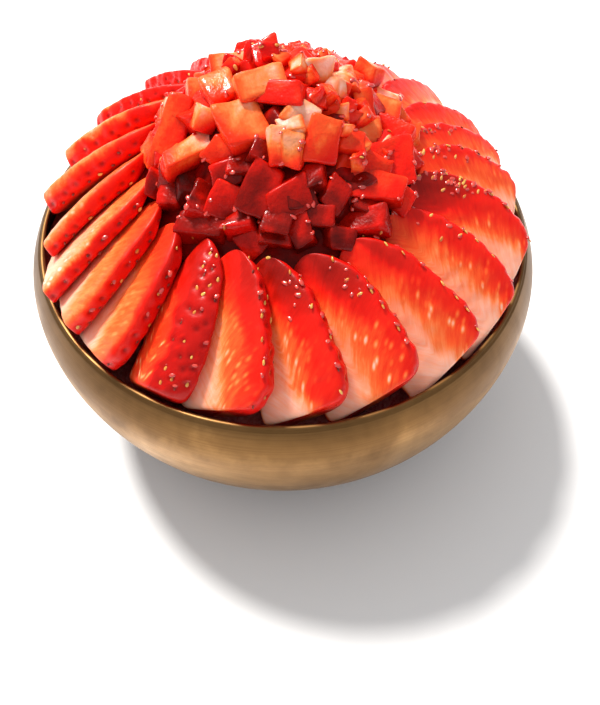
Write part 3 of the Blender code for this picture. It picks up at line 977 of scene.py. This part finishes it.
# Tones of the flesh, from 0, syrup-soaked red that also carries painted shade, to 1, the pale core
sliceTones = {
    "core": 0.97,
    "coreFade": 0.16,  # how much the core darkens towards the tip
    "middleRise": 0.10,
    "margin": 0.37,
    # The soaked tones: syrup red with painted shade, for the inner ends near the heap
    "soakedAndShaded": 0.15,
    "skin": 0.34,
    "skinSoakAndShade": 0.14,
    "capSkinShade": 0.14,
}

seedBank = []  # (points, normals, ways, tones) from every piece that has seeds
crestBank = []  # (points, normals) where drops of syrup may sit


def makeSlice(index, rng):
    name, row, look = sliceNames[index], slices[index], sliceLooks[index]
    mid, flecks, syrupAndShade, wrap, yellow = look[6:]
    cap = row[5] > 0.9
    inFront = 6 <= index <= 16
    n = fan["stations"]
    ends = 1.0 - 0.07 * np.array([0.8, 0.6, 0.42, 0.28, 0.17, 0.09, 0.03, 0.008])
    s = np.concatenate([[0.0, 0.003, 0.008, 0.016, 0.028], np.linspace(0.045, 0.93, n - 13), ends])
    theta = sectionAngles()
    centre, width, normal, along = sliceFrame(row, s)
    reach, skin, middle, wide, t = crossSection(row, s, thickness(index, s), theta, hullOf(index))
    # Rounded at the hull end: the section grows from 78% over the first 1.2 mm
    grow = 0.78 + 0.22 * np.sqrt(np.clip(1.0 - (1.0 - np.minimum(s / 0.032, 1.0)) ** 2, 0.0, 1.0))
    reach = reach * grow[:, None]
    # The outline wavers a little and no two slices waver alike
    phase = rng.uniform(0.0, 6.28, 4)
    waver = 0.0
    for height, pace, start in zip((0.017, 0.014, 0.010), (9.0, 27.0, 58.0), phase):
        waver = waver + height * np.sin(pace * s + start)
    c, m = np.cos(theta)[None, :], np.sin(theta)[None, :]
    y = reach * c * (1.0 + waver[:, None] * (np.abs(c) > 0.5))
    z = middle + reach * m
    points = centre[:, None, :] + y[:, :, None] * width[:, None, :] + z[:, :, None] * normal[:, None, :]
    # The hull end turns part of the way to the rim's circle: each column moves along by its own miss
    miss = fan["rimFollow"] * (row[3] - fan["rimGap"] - np.hypot(points[0, :, 0], points[0, :, 1]))
    fade = np.clip(1.0 - s / fan["rimReach"], 0.0, 1.0) ** 1.5
    points -= along[:, None, :] * (miss[None, :] * fade[:, None])[:, :, None]
    share = y / wide
    deep = np.clip(-z / t, 0.0, 1.0)
    onSkin = smoothStep(0.90, 0.97, reach / (skin * grow[:, None]))
    if cap:
        sway = 0.10 * np.sin(15.0 * s + 0.6) + 0.05 * np.sin(37.0 * s + 2.0)
        onSkin = 0.7 * onSkin * smoothStep(0.10, 0.42, share + sway[:, None])
    else:
        onSkin = onSkin * smoothStep(wrap - 0.10, wrap + 0.10, deep)
    onTop = smoothStep(0.0, 0.5, m + 0.0 * y) * (1.0 - onSkin)
    # Relief of the cut face: shallow waves
    flat = points.reshape(-1, 3)
    relief = waves(flat, rng, 7.0).reshape(y.shape) * 0.09 + waves(flat, rng, 2.6).reshape(y.shape) * 0.03
    points += normal[:, None, :] * (relief * onTop)[:, :, None]
    # Dimples round the seeds: each pushes the skin in along its own normal
    spots = seedSpots(row, wrap, rng)
    place, out, way = seedPlaces(row, index, spots)
    if not cap:
        fade = np.clip(1.0 - spots[:, 0] / fan["rimReach"], 0.0, 1.0) ** 1.5
        place = place - way * (miss[np.argmax(y[0])] * fade)[:, None]
    apart = np.linalg.norm(flat[:, None, :] - place[None, :, :], axis=2)
    flat -= fan["dimple"] * np.exp(-((apart / fan["dimpleSize"]) ** 2)) @ out
    # Painted shade in the dimples: pit darkens the skin round each seed
    pit = np.clip(np.exp(-((apart / fan["pitSize"]) ** 2)).sum(axis=1), 0.0, 1.0)
    bright = rng.random(len(spots)) < yellow
    keep = rng.random(len(spots)) < np.where(bright, 0.95, 0.7 if index < 11 else 0.35)
    husks = np.where(bright, rng.uniform(0.55, 1.0, len(spots)), rng.uniform(0.0, 0.28, len(spots)))
    sink = fan["seedSink"]["front" if inFront else "side"]
    seedBank.append((place[keep] - sink * out[keep], out[keep], way[keep], husks[keep]))
    if inFront:
        crest = (spots[:, 1] < 0.6) | cap
        crestBank.append((place[crest] - 0.25 * out[crest] + 1.3 * way[crest], out[crest]))
    # Drops and loose seeds lie in the syrup on a few slices, near the heap and along the crest
    if index + 1 in fan["wetSlices"]:
        loose = np.random.default_rng(fan["dropBase"] + index)
        near = smoothStep(0.40, 0.75, s)[:, None] * smoothStep(0.1, 0.7, share) * (onTop > 0.5)
        drops = fan["wetSlices"][index + 1]
        picked = loose.choice(near.size, size=drops, replace=False, p=near.ravel() / near.sum())
        upward = np.repeat(normal, y.shape[1], axis=0)[picked]
        crestBank.append((flat[picked], upward))
        some, upward = picked[: drops // 4], upward[: drops // 4]
        across = np.repeat(width, y.shape[1], axis=0)[some]
        seedBank.append((flat[some] - 0.1 * upward, upward, across, loose.uniform(0.5, 1.0, len(some))))
    # Tone: pale core, orange middle, red margin, redder towards the heap where syrup soaks in and painted
    # shade darkens the inner ends
    start = coveredTo(index, s)[:, None] if not cap else -0.9
    thirds = [0.05, 0.35, 0.65]
    if index + 1 in shownFrom:
        start = np.interp(s, thirds, shownFrom[index + 1])[:, None]
    # Fibres leave the core along the slice and bend out to the crest, each along - sqrt(2 bend across)
    b = s[:, None] + 0.0 * y
    alongMm = b * (row[3] - row[4])
    acrossMm = np.sqrt((y + 0.1 * row[2]) ** 2 + 0.8)
    onward = acrossMm + 0.6 * alongMm
    lane = alongMm - np.sqrt(2.0 * fan["bend"] * acrossMm)
    fingers = np.stack([lane, 0.22 * onward, 0.0 * lane], axis=2).reshape(-1, 3)
    drift = waves(flat, rng, 11.0).reshape(y.shape) * 0.05
    drift = drift + waves(fingers, rng, 2.4).reshape(y.shape) * (0.05 if wrap < 0.3 else 0.015)
    v = (share - start) / (1.0 - start) + drift
    v = v + min(0.25 / wrap, 1.0) * deep * smoothStep(0.2, 0.6, c)
    coreEdge = np.interp(b, thirds, look[0:3])
    redEdge = np.interp(b, [0.05, 0.35, 0.70], look[3:6])
    pale = smoothStep(0.19, -0.17, v - coreEdge)
    red = smoothStep(-0.12, 0.10, v - redEdge)
    across = np.clip((v - coreEdge) / np.maximum(redEdge - coreEdge, 0.1), 0.0, 1.0)
    tones = sliceTones
    tone = mid + tones["middleRise"] - (0.20 if wrap < 0.3 else 0.10) * across
    tone = tone + (tones["core"] - tones["coreFade"] * b - tone) * pale
    tone = tone + (tones["margin"] - tone) * red
    # Syrup and painted shade: the inner ends, which the heap shades, go deep red
    soakAndShade = syrupAndShade * smoothStep(0.50, 0.92, b + 0.10 * v)
    tone = tone + (tones["soakedAndShaded"] - tone) * soakAndShade
    tone = tone + (tones["skin"] - tones["skinSoakAndShade"] * soakAndShade - tone) * onSkin
    # Painted shade: the cap's skin, turned away from the light, is darkened to a deep maroon tone
    if cap:
        tone = tone + (tones["capSkinShade"] - tone) * smoothStep(0.1, 0.6, onSkin)
    fleck = flecks * smoothStep(0.1, 0.35, across) * smoothStep(0.75, 0.35, b) * (1.0 - pale)
    fleck = fleck * smoothStep(0.25, -0.05, v - redEdge - 0.05)
    lane = np.stack([lane + 60.0 * index, onward, z + 11.0 * index], axis=2)

    def withPoles(value):
        poles = [value[0].mean(axis=0), value[-1].mean(axis=0)]
        return np.concatenate([value.reshape((-1,) + value.shape[2:]), poles])

    pit = pit.reshape(y.shape) * onSkin
    values = {"tone": tone, "skin": onSkin, "pit": pit, "fleck": fleck, "place": lane}
    values = {key: withPoles(value) for key, value in values.items()}
    shape = closed(points, points[0].mean(axis=0), points[-1].mean(axis=0))
    item = meshObject("strawberry_" + name, *shape, values, sliceFlesh)
    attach(item, "root")
    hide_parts(name)


for index in range(len(slices)):
    makeSlice(index, np.random.default_rng(fan["seedBase"] + index))
print("slices made")


# The heap of diced strawberry, in mm: its heights are above the rim

heap = {
    "radius": 41.0,
    "top": 62.0,
    "drop": 32.0,
    "power": 1.6,
    "base": 24.9,
    "coreRadius": 38.0,
    "coreTop": 53.5,
    "lean": 0.42,
    "lattice": 7,
    "corner": 12.0,
    "swell": 1.16,  # the cut corners take the pieces below their given size
    "frontPush": 1.2,  # how far the low front pieces sit back in the shade, mm
    "frontSwell": 0.08,
    "frontShade": 0.52,  # painted shade: their tones are darkened too
    "rightBright": 0.12,
    "soakAndShade": 0.8,  # how red the pieces go where they sink into the syrup and into painted shade between them
    "pitSize": 0.9,
    "seedGap": 2.6,
    "drops": 420,
    "bits": 46,
    "fillCount": 170,
    "fillRadius": 38.6,
    "goldenAngle": 137.508,
    "taken": 5.6,  # no seeded piece starts nearer than this to one that shows
    "bitRadius": 33.0,
    "bitSide": (-50.0, 175.0),  # the azimuths between which the small bits lie
    "cornerMove": (-0.36, 0.16),  # how far the corners move, as a share of the half size
    "seed": 23,
}

# Pieces that show from the front, at their place on the heap above the rim, in mm: x, y, z, width, height,
# depth, spin in degrees, tone at the low end, tone at the high end, the way the tone rises in degrees, skin
# The low tones of the front rows are partly painted shade, where the heap's front lies in shadow
shownPieces = [
    (-31.6, -3.9, 40.6, 9.0, 20.0, 8.0, -17, 0.36, 0.64, 180, 0.0),
    (-25.7, -14.3, 43.1, 18.0, 7.5, 8.0, 37, 0.58, 0.95, 0, 0.0),
    (-17.5, -19.3, 46.3, 9.5, 7.5, 7.0, 40, 0.34, 0.62, 120, 0.2),
    (-10.2, -15.9, 52.5, 12.0, 12.5, 9.0, 25, 0.5, 0.84, 60, 0.0),
    (1.2, -20.3, 51.4, 9.5, 10.5, 8.0, 5, 0.36, 0.95, 90, 0.0),
    (-5.3, -5.4, 59.7, 14.0, 8.5, 8.0, 17, 0.7, 0.86, 60, 0.0),
    (-17.1, -2.0, 53.9, 9.5, 9.0, 8.0, 30, 0.42, 0.8, 75, 0.0),
    (-24.0, 8.0, 46.0, 7.5, 9.0, 6.0, 10, 0.62, 0.74, 90, 0.0),
    (-14.1, 11.1, 53.5, 13.0, 7.0, 7.0, 12, 0.6, 0.93, 30, 0.0),
    (-10.2, 16.6, 53.8, 7.5, 6.0, 6.0, -8, 0.3, 0.4, 90, 1.0),
    (-3.3, 7.1, 59.7, 8.0, 7.0, 6.5, 25, 0.3, 0.42, 90, 1.0),
    (-0.4, -8.6, 58.8, 13.0, 6.5, 6.5, -4, 0.33, 0.4, 90, 0.6),
    (-21.5, -7.4, 49.3, 5.5, 7.0, 6.0, -20, 0.4, 0.9, 120, 0.0),
    (8.2, -0.4, 59.5, 10.0, 7.0, 7.0, 5, 0.72, 0.97, 70, 0.0),
    (17.5, 5.9, 53.0, 8.0, 7.0, 7.0, 20, 0.62, 0.84, 90, 0.0),
    (14.2, -3.1, 55.7, 7.5, 8.0, 7.0, -12, 0.6, 0.93, 60, 0.0),
    (9.0, -8.0, 57.3, 8.0, 6.0, 7.0, -10, 0.34, 0.42, 0, 0.5),
    (5.4, -13.6, 55.4, 9.0, 7.5, 6.0, -35, 0.74, 1.0, 60, 0.0),
    (3.2, -17.0, 53.7, 7.0, 4.5, 6.0, 12, 0.8, 0.97, 160, 0.0),
    (3.0, -21.4, 50.5, 6.5, 8.5, 7.0, -8, 0.42, 0.88, 95, 0.0),
    (10.6, -18.0, 51.1, 10.5, 11.0, 9.0, -10, 0.34, 0.7, 120, 0.3),
    (23.3, 1.0, 48.9, 6.0, 11.0, 7.0, 12, 0.52, 0.72, 180, 0.0),
    (25.1, 17.0, 46.0, 8.0, 8.0, 6.0, -20, 0.5, 0.7, 90, 0.0),
    (31.7, 14.0, 38.0, 9.5, 6.5, 6.0, -18, 0.7, 0.96, 90, 0.0),
    (31.0, 7.0, 40.6, 9.5, 7.0, 6.0, -15, 0.45, 0.72, 100, 0.0),
    (19.9, -15.1, 47.5, 8.5, 8.5, 8.0, -10, 0.34, 0.6, 165, 0.0),
    (30.0, -10.0, 40.8, 5.0, 5.0, 5.0, 30, 0.55, 0.88, 120, 0.0),
    (22.8, -16.8, 42.0, 15.0, 10.0, 7.0, -24, 0.28, 0.46, 140, 0.0),
    (31.0, -13.8, 39.2, 13.5, 12.0, 6.0, 14, 0.27, 0.36, 60, 0.6),
    (27.4, -22.6, 37.4, 15.5, 8.5, 6.5, -8, 0.26, 0.44, 110, 0.0),
    (33.5, -21.8, 33.8, 9.5, 7.0, 6.0, -30, 0.3, 0.4, 90, 0.6),
    (32.0, -3.3, 40.2, 12.0, 9.5, 8.0, -30, 0.3, 0.38, 90, 1.0),
    (3.8, -30.5, 41.7, 8.0, 8.0, 7.0, 20, 0.16, 0.3, 90, 0.0),
    (9.5, -26.5, 44.2, 7.5, 6.5, 7.0, 5, 0.18, 0.55, 60, 0.0),
    (15.2, -28.2, 40.2, 7.0, 8.0, 7.0, -35, 0.22, 0.42, 60, 0.0),
    (-15.3, -29.0, 39.4, 8.5, 8.5, 7.0, -20, 0.24, 0.78, 120, 0.0),
    (-5.8, -28.1, 43.8, 9.0, 12.0, 8.0, -25, 0.24, 0.56, 60, 0.0),
    (2.2, -30.6, 41.6, 12.0, 9.0, 8.0, 24, 0.24, 0.6, 60, 0.0),
    (-12.2, -33.5, 36.3, 8.5, 6.5, 7.0, 6, 0.2, 0.4, 90, 1.0),
    (-1.2, -37.4, 33.5, 8.0, 7.2, 7.0, -3, 0.3, 0.44, 60, 0.0),
    (-8.1, -37.6, 32.2, 6.5, 7.0, 6.5, 38, 0.26, 0.58, 100, 0.0),
    (5.7, -37.0, 34.3, 5.5, 7.5, 6.0, 20, 0.18, 0.5, 40, 0.0),
    (10.0, -33.2, 37.3, 8.8, 5.5, 7.0, -6, 0.18, 0.34, 60, 0.0),
    (22.1, -32.0, 32.8, 15.5, 6.6, 6.5, -4, 0.32, 0.42, 90, 0.5),
    (-22.4, -33.0, 31.8, 12.0, 6.5, 6.5, -14, 0.16, 0.52, 60, 0.5),
    (-22.7, -26.7, 37.0, 6.5, 10.0, 7.0, -12, 0.12, 0.28, 90, 0.7),
    (-15.0, -24.2, 44.0, 8.5, 7.0, 7.0, 20, 0.16, 0.34, 90, 0.0),
    (23.9, -28.4, 34.7, 9.0, 5.5, 7.0, -8, 0.18, 0.34, 90, 0.0),
]


def heapHeight(r):
    # Height of the heap above the rim: z = top - drop (r / radius)^power
    return heap["top"] - heap["drop"] * (r / heap["radius"]) ** heap["power"]


def diceLattice(n):
    # Points on the skin of an n x n x n lattice, drawn towards its edges, with the quads of its six sides
    i, j, k = np.meshgrid(*(np.arange(n + 1),) * 3, indexing="ij")
    shell = (i % n == 0) | (j % n == 0) | (k % n == 0)
    number = np.full(shell.shape, -1)
    number[shell] = np.arange(shell.sum())
    u = np.stack([i[shell], j[shell], k[shell]], axis=1) * 2.0 / n - 1.0
    u = np.sign(u) * (1.0 - (1.0 - np.abs(u)) ** 1.5)
    a, b = np.meshgrid(np.arange(n), np.arange(n), indexing="ij")
    quads = []
    for axis in range(3):
        for end, flip in ((0, True), (n, False)):
            corner = []
            for da, db in ((0, 0), (1, 0), (1, 1), (0, 1)):
                spot = [None] * 3
                spot[axis] = np.full_like(a, end)
                spot[(axis + 1) % 3] = a + da
                spot[(axis + 2) % 3] = b + db
                corner.append(number[spot[0], spot[1], spot[2]])
            face = np.stack(corner, axis=2).reshape(-1, 4)
            quads.append(face[:, ::-1] if flip else face)
    return u, np.concatenate(quads)


def leanAll(axes, lean):
    # Every shown piece leans a little about its first two axes, so that its sides catch the light differently
    for k in (0, 1):
        ca, sa = np.cos(lean[:, k])[:, None], np.sin(lean[:, k])[:, None]
        side, front = axes[:, 1 - k].copy(), axes[:, 2].copy()
        axes[:, 1 - k] = side * ca + front * sa
        axes[:, 2] = front * ca - side * sa


def shownDice(rng):
    # The pieces of the table: each faces the camera, stands at its place on the heap and leans a little
    pitch = viewSettings["pitch"]
    right = np.array([1.0, 0.0, 0.0])
    up = np.array([0.0, math.sin(pitch), math.cos(pitch)])
    out = np.array([0.0, -math.cos(pitch), math.sin(pitch)])
    rows = np.array(shownPieces, dtype=float)
    spin = np.radians(rows[:, 6])[:, None]
    axisX = right * np.cos(spin) + up * np.sin(spin)
    axisY = up * np.cos(spin) - right * np.sin(spin)
    axes = np.stack([axisX, axisY, np.repeat(out[None, :], len(rows), axis=0)], axis=1)
    lean = rng.uniform(-heap["lean"], heap["lean"], (len(rows), 2))
    front = smoothStep(-22.0, -27.0, rows[:, 1])[:, None]
    sizes = rows[:, 3:6] * 0.5 * heap["swell"] * (1.0 + heap["frontSwell"] * front)
    centres = rows[:, 0:3] + [0.0, 0.0, bowl["height"]] - out * (sizes[:, 2:3] - 1.6)
    centres -= out * heap["frontPush"] * front
    # Painted shade: the low front pieces' tones are darkened, as the heap's front lies in shadow
    tones = rows[:, 7:9] * (1.0 - heap["frontShade"] * front)
    tones[:, 0] -= 0.08 * (tones[:, 0] > 0.48)
    right = smoothStep(16.0, 24.0, rows[:, 0:1]) * (rows[:, 1:2] < 0.0)
    tones *= 1.0 + heap["rightBright"] * right
    rise = np.radians(rows[:, 9])
    rise = np.stack([np.cos(rise), np.sin(rise), 0.25 + 0.0 * rise], axis=1)
    leanAll(axes, lean)
    return centres, sizes, axes, tones, rise, rows[:, 10]


def seededDice(rng, taken):
    # The rest: a sunflower spread r = R sqrt(k / n) with the golden angle, skipping what is taken, and small
    # bits spread evenly over the back and the right of the heap
    k = np.arange(heap["fillCount"])
    r = heap["fillRadius"] * np.sqrt((k + 0.5) / heap["fillCount"])
    size = rng.uniform(3.7, 5.6, (len(k), 3)) * np.array([1.12, 0.95, 0.9])
    z = bowl["height"] + heapHeight(r) - 0.75 * size[:, 2] - rng.uniform(0.4, 2.2, len(k))
    z = np.maximum(z, bowl["height"] + heap["base"] + 4.4)
    spot = circled(r, np.radians(heap["goldenAngle"] * k), z)
    near = np.linalg.norm(spot[:, None, :] - taken[None, :, :], axis=2).min(axis=1)
    spot[:, 2] -= 1.4 * smoothStep(10.0, 7.0, near)
    free = near > heap["taken"]
    bits = heap["bits"]
    bitR = heap["bitRadius"] * np.sqrt(rng.random(bits))
    bitA = np.radians(rng.uniform(*heap["bitSide"], bits))
    bitSize = rng.uniform(1.7, 3.0, (bits, 3))
    bitZ = bowl["height"] + heapHeight(bitR) - 0.2 * bitSize[:, 2] + rng.uniform(-0.6, 0.8, bits)
    spot = np.concatenate([spot[free], circled(bitR, bitA, bitZ)])
    size = np.concatenate([size[free], bitSize])
    count = len(spot)
    yaw, tip, rock = (rng.uniform(-most, most, count) for most in (3.1, 0.7, 0.7))
    turns = []
    for angles in zip(yaw, tip, rock):
        about = [Matrix.Rotation(angle, 3, axis) for angle, axis in zip(angles, "ZYX")]
        turns.append(np.array(about[0] @ about[1] @ about[2]).T)
    # Painted shade: the pieces at the front, where the heap lies in shadow, get darker tones
    front = spot[:, 1] < -10.0
    low = np.where(front, rng.uniform(0.04, 0.12, count), rng.uniform(0.2, 0.42, count))
    high = np.where(front, rng.uniform(0.10, 0.26, count), rng.uniform(0.34, 0.9, count))
    low[-bits:] = rng.uniform(0.26, 0.5, bits)
    high[-bits:] = rng.uniform(0.42, 0.95, bits)
    way = unit(rng.normal(size=(count, 3)))
    skins = np.where(rng.random(count) < 0.35, 1.0, 0.0)
    return spot, size, np.array(turns), np.stack([low, high], axis=1), way, skins


def dieSeeds(points, side, skins, centres, axes, rng):
    # Up to four seeds on the skin side of each piece that has one, none too near another
    seeds, outs, ways = [], [], []
    for k in np.where(skins > 0.25)[0]:
        outer = np.where(side[k] > 0.75)[0]
        pick = rng.choice(outer, size=min(4, len(outer)), replace=False)
        away = unit(points[k][pick] - centres[k])
        seeds.append(points[k][pick])
        outs.append(away)
        ways.append(np.cross(away, axes[k][0]))
    seeds, outs, ways = (np.concatenate(part) for part in (seeds, outs, ways))
    apart = np.linalg.norm(seeds[:, None, :] - seeds[None, :, :], axis=2) + 99.0 * np.tri(len(seeds)).T
    keep = apart.min(axis=1) > heap["seedGap"]
    return seeds[keep], outs[keep], ways[keep]


def makeDice():
    rng = np.random.default_rng(heap["seed"])
    shown = shownDice(rng)
    pieces = zip(shown, seededDice(rng, shown[0]))
    centres, sizes, axes, tones, rise, skins = (np.concatenate(pair) for pair in pieces)
    total = len(centres)
    # One rounded block: u / |u|_p for a rounded cube, skewed by eight corners that each move on their own
    u, quads = diceLattice(heap["lattice"])
    block = u / (np.abs(u) ** heap["corner"]).sum(axis=1, keepdims=True) ** (1.0 / heap["corner"])
    corners = np.array([[x, y, z] for x in (-1.0, 1.0) for y in (-1.0, 1.0) for z in (-1.0, 1.0)])
    weight = np.prod(0.5 * (1.0 + block[:, None, :] * corners[None, :, :]), axis=2)
    moved = rng.uniform(*heap["cornerMove"], (total, 8, 3)) * corners[None, :, :]
    # On each piece one corner is cut well back, as a knife leaves it
    cutBack = np.zeros((total, 8, 1))
    cutBack[np.arange(total), rng.integers(0, 8, total), 0] = rng.uniform(0.15, 0.6, total)
    moved -= cutBack * corners[None, :, :] * rng.uniform(0.4, 1.0, (total, 1, 3))
    moved *= np.clip(6.0 / sizes, 0.4, 1.0)[:, None, :]
    local = block[None, :, :] + np.einsum("vc,tcx->tvx", weight, moved)
    # The side under the skin swells along the way against the rise
    side = -np.einsum("vx,tx->tv", block, rise)
    local -= rise[:, None, :] * (0.28 * skins[:, None] * smoothStep(0.2, 1.1, side))[:, :, None]
    local *= sizes[:, None, :]
    world = np.einsum("tvx,txw->tvw", local, axes) + centres[:, None, :]
    flat = world.reshape(-1, 3)
    outwards = unit(flat - np.repeat(world.mean(axis=1), world.shape[1], axis=0))
    flat += outwards * (waves(flat, rng, 6.0) * 0.30 + waves(flat, rng, 2.6) * 0.12)[:, None]
    # The tone climbs along the rise; the cut edges are a little redder than the faces
    height = 0.5 + 0.65 * np.einsum("vx,tx->tv", block, rise) / np.abs(rise).sum(axis=1)[:, None]
    tone = tones[:, :1] + (tones[:, 1:] - tones[:, :1]) * np.clip(height, 0.0, 1.0)
    tone = tone + waves(flat, rng, 5.0).reshape(tone.shape) * 0.06
    edge = np.sort(np.abs(block), axis=1)[:, 1]
    rim = smoothStep(0.62, 1.0, edge)[None, :]
    tone = tone + (0.07 - 0.17 * rim) * smoothStep(0.45, 0.7, tone)
    # Syrup gathers between the pieces and painted shade darkens the sides that face into the heap: away from
    # the heap's own outward direction they go deep red
    away = unit(centres - [0.0, 0.0, bowl["height"] - 12.0])
    facing = np.einsum("vx,tx->tv", block, np.einsum("txw,tw->tx", axes, away))
    sunkAndShaded = smoothStep(0.55, -0.55, facing)
    soakAndShade = heap["soakAndShade"] * np.where(np.arange(total) < total - heap["bits"], 1.0, 0.5)[:, None]
    tone = tone + (0.1 - tone) * soakAndShade * sunkAndShaded * (tone > 0.1)
    skin = skins[:, None] * smoothStep(0.35, 0.7, side) * (1.0 - 0.7 * sunkAndShaded)
    fleck = 0.12 * smoothStep(0.42, 0.6, tone) * (1.0 - skin)
    place = local * [0.8, 2.2, 0.8] + (np.arange(total) * 37.0)[:, None, None]
    seeds, outs, ways = dieSeeds(world, side, skins, centres, axes, rng)
    seedBank.append((seeds - 0.2 * outs, outs, ways, rng.uniform(0.3, 1.0, len(seeds))))
    # Painted shade in the dimples round the seeds
    nearest = np.min([np.linalg.norm(flat - seed, axis=1) for seed in seeds], axis=0)
    pit = np.exp(-((nearest / heap["pitSize"]) ** 2))
    # Drops of syrup near the pieces' outer edges
    edgy = (edge > 0.8)[None, :] & (facing > 0.35)
    picked = rng.choice(np.where(edgy.ravel())[0], size=heap["drops"], replace=False)
    crestBank.append((flat[picked], outwards[picked]))
    values = {"tone": tone, "skin": skin, "pit": pit.reshape(skin.shape) * skin, "fleck": fleck}
    values = {key: value.ravel() for key, value in values.items()}
    values["place"] = place.reshape(-1, 3)
    allQuads = repeated(quads, total, len(u))
    item = meshObject("dicedBerries", flat, allQuads, [], values, diceFlesh)
    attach(item, "root")
    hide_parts("heap")
    print("dice:", total, "triangles:", len(allQuads) * 2)


def makeHeapCore():
    # A low dome of syrup-soaked pulp under the dice, lumpy by waves of 9 and 4 mm
    rng = np.random.default_rng(heap["seed"] + 1)
    share = 1.0 - np.linspace(0.0, 1.0, 44)[1:] ** 1.4
    base = bowl["height"] + heap["base"]
    top = base + 3.0 + (heap["coreTop"] - heap["base"] - 3.0) * (1.0 - share**1.9)
    # Under the dome a skirt reaches out below the slices' inner ends
    skirt = [(0.0, -3.5), (46.0, -3.5), (46.5, -2.6), (43.0, -0.4), (40.0, 1.2), (38.6, 2.2)]
    dome = np.stack([heap["coreRadius"] * share, top], axis=1)
    profile = np.concatenate([np.array(skirt) + [0.0, base], dome])

    def lumps(points):
        flat = points.reshape(-1, 3)
        push = waves(flat, rng, 9.0) * 0.8 + waves(flat, rng, 4.0) * 0.35
        out = flat * [0.025, 0.025, 0.0] + [0.0, 0.0, 0.6]
        fade = smoothStep(base + 1.0, base + 5.0, flat[:, 2])[:, None]
        return (flat + out * push[:, None] * fade).reshape(points.shape)

    item = turned("syrupCore", profile, 180, berrySyrup, lumps)
    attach(item, "root")


def scattered(name, shape, places, axes, size, values, material):
    # One closed shape at every place, turned to that place's axes, as one mesh
    points, quads, tris = shape
    count = len(places)
    world = np.einsum("tvx,txw->tvw", points[None] * size[:, None, :], axes) + places[:, None, :]
    faces = (repeated(part, count, len(points)) for part in (quads, tris))
    values = {key: np.repeat(value, len(points)) for key, value in values.items()}
    item = meshObject(name, world.reshape(-1, 3), *faces, values, material)
    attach(item, "root")
    print(name + ":", count)


def flatTo(ways, outs):
    # The part of each way that lies flat on its place, at unit length
    return unit(ways - outs * np.sum(ways * outs, axis=1, keepdims=True))


def ballAngles(columns):
    # Five rings between the poles, with their angle from the pole and the angle round
    v = np.linspace(0.0, math.pi, 7)[1:-1][:, None]
    w = np.linspace(0.0, 2.0 * math.pi, columns, endpoint=False)[None, :]
    return v, w


def makeSeeds():
    # A seed is a drop: x = a cos(v), y = b sin(v) cos(w) (1 - 0.25 cos(v)), z = c sin(v) sin(w)
    points, outs, ways, tones = (np.concatenate(part) for part in zip(*seedBank))
    rng = np.random.default_rng(9)
    length, wide, thick = (0.5 * v for v in fan["seedSize"])
    v, w = ballAngles(8)
    y = wide * np.sin(v) * np.cos(w) * (1.0 - 0.25 * np.cos(v))
    rings = np.stack([length * np.cos(v) + 0.0 * w, y, thick * np.sin(v) * np.sin(w)], axis=2)
    shape = closed(rings, (length, 0.0, 0.0), (-length, 0.0, 0.0))
    ways = flatTo(ways + rng.normal(size=ways.shape) * 0.25, outs)
    axes = np.stack([ways, np.cross(outs, ways), outs], axis=1)
    size = (rng.uniform(0.62, 0.85, len(points)) + 0.3 * (tones > 0.4))[:, None]
    scattered("berrySeeds", shape, points, axes, size, {"tone": tones}, seedHusk)


def makeBeads():
    # Flat drops of syrup that catch the light: the unit ball scaled to a low dome, lying nearly level
    points, outs = (np.concatenate(part) for part in zip(*crestBank))
    rng = np.random.default_rng(31)
    some = rng.random(len(points)) < 0.6
    points, outs = points[some] - 0.12 * outs[some], outs[some]
    v, w = ballAngles(10)
    rings = np.stack([np.sin(v) * np.cos(w), np.sin(v) * np.sin(w), np.cos(v) + 0.0 * w], axis=2)
    shape = closed(rings, (0.0, 0.0, 1.0), (0.0, 0.0, -1.0))
    outs = unit(outs + [0.0, 0.0, 1.3])
    ways = flatTo(rng.normal(size=outs.shape), outs)
    axes = np.stack([ways, np.cross(outs, ways), outs], axis=1)
    size = rng.uniform(0.4, 1.05, (len(points), 1)) * np.array([1.2, 0.8, 0.42])
    scattered("syrupBeads", shape, points, axes, size, {}, wetSyrup)


makeDice()
makeHeapCore()
makeSeeds()
makeBeads()
print("heap made")


# The pale floor

def makeFloor():
    corners = np.array([[-1.0, -1.0], [1.0, -1.0], [1.0, 1.0], [-1.0, 1.0]])
    points = np.column_stack([1500.0 * corners, np.full(4, -0.05)])
    material, tree, shader = startMaterial("paleTable", {"Roughness": 0.9, "Specular IOR Level": 0.1})
    cloud = noise(tree, objectPlace(tree), 3.0, 2.0)
    shade = mixColour(tree, cloud, (0.90, 0.90, 0.91, 1.0), (0.94, 0.94, 0.94, 1.0))
    paint(tree, shader, shade)
    meshObject("table", points, [[0, 1, 2, 3]], [], {}, material, False)


makeFloor()
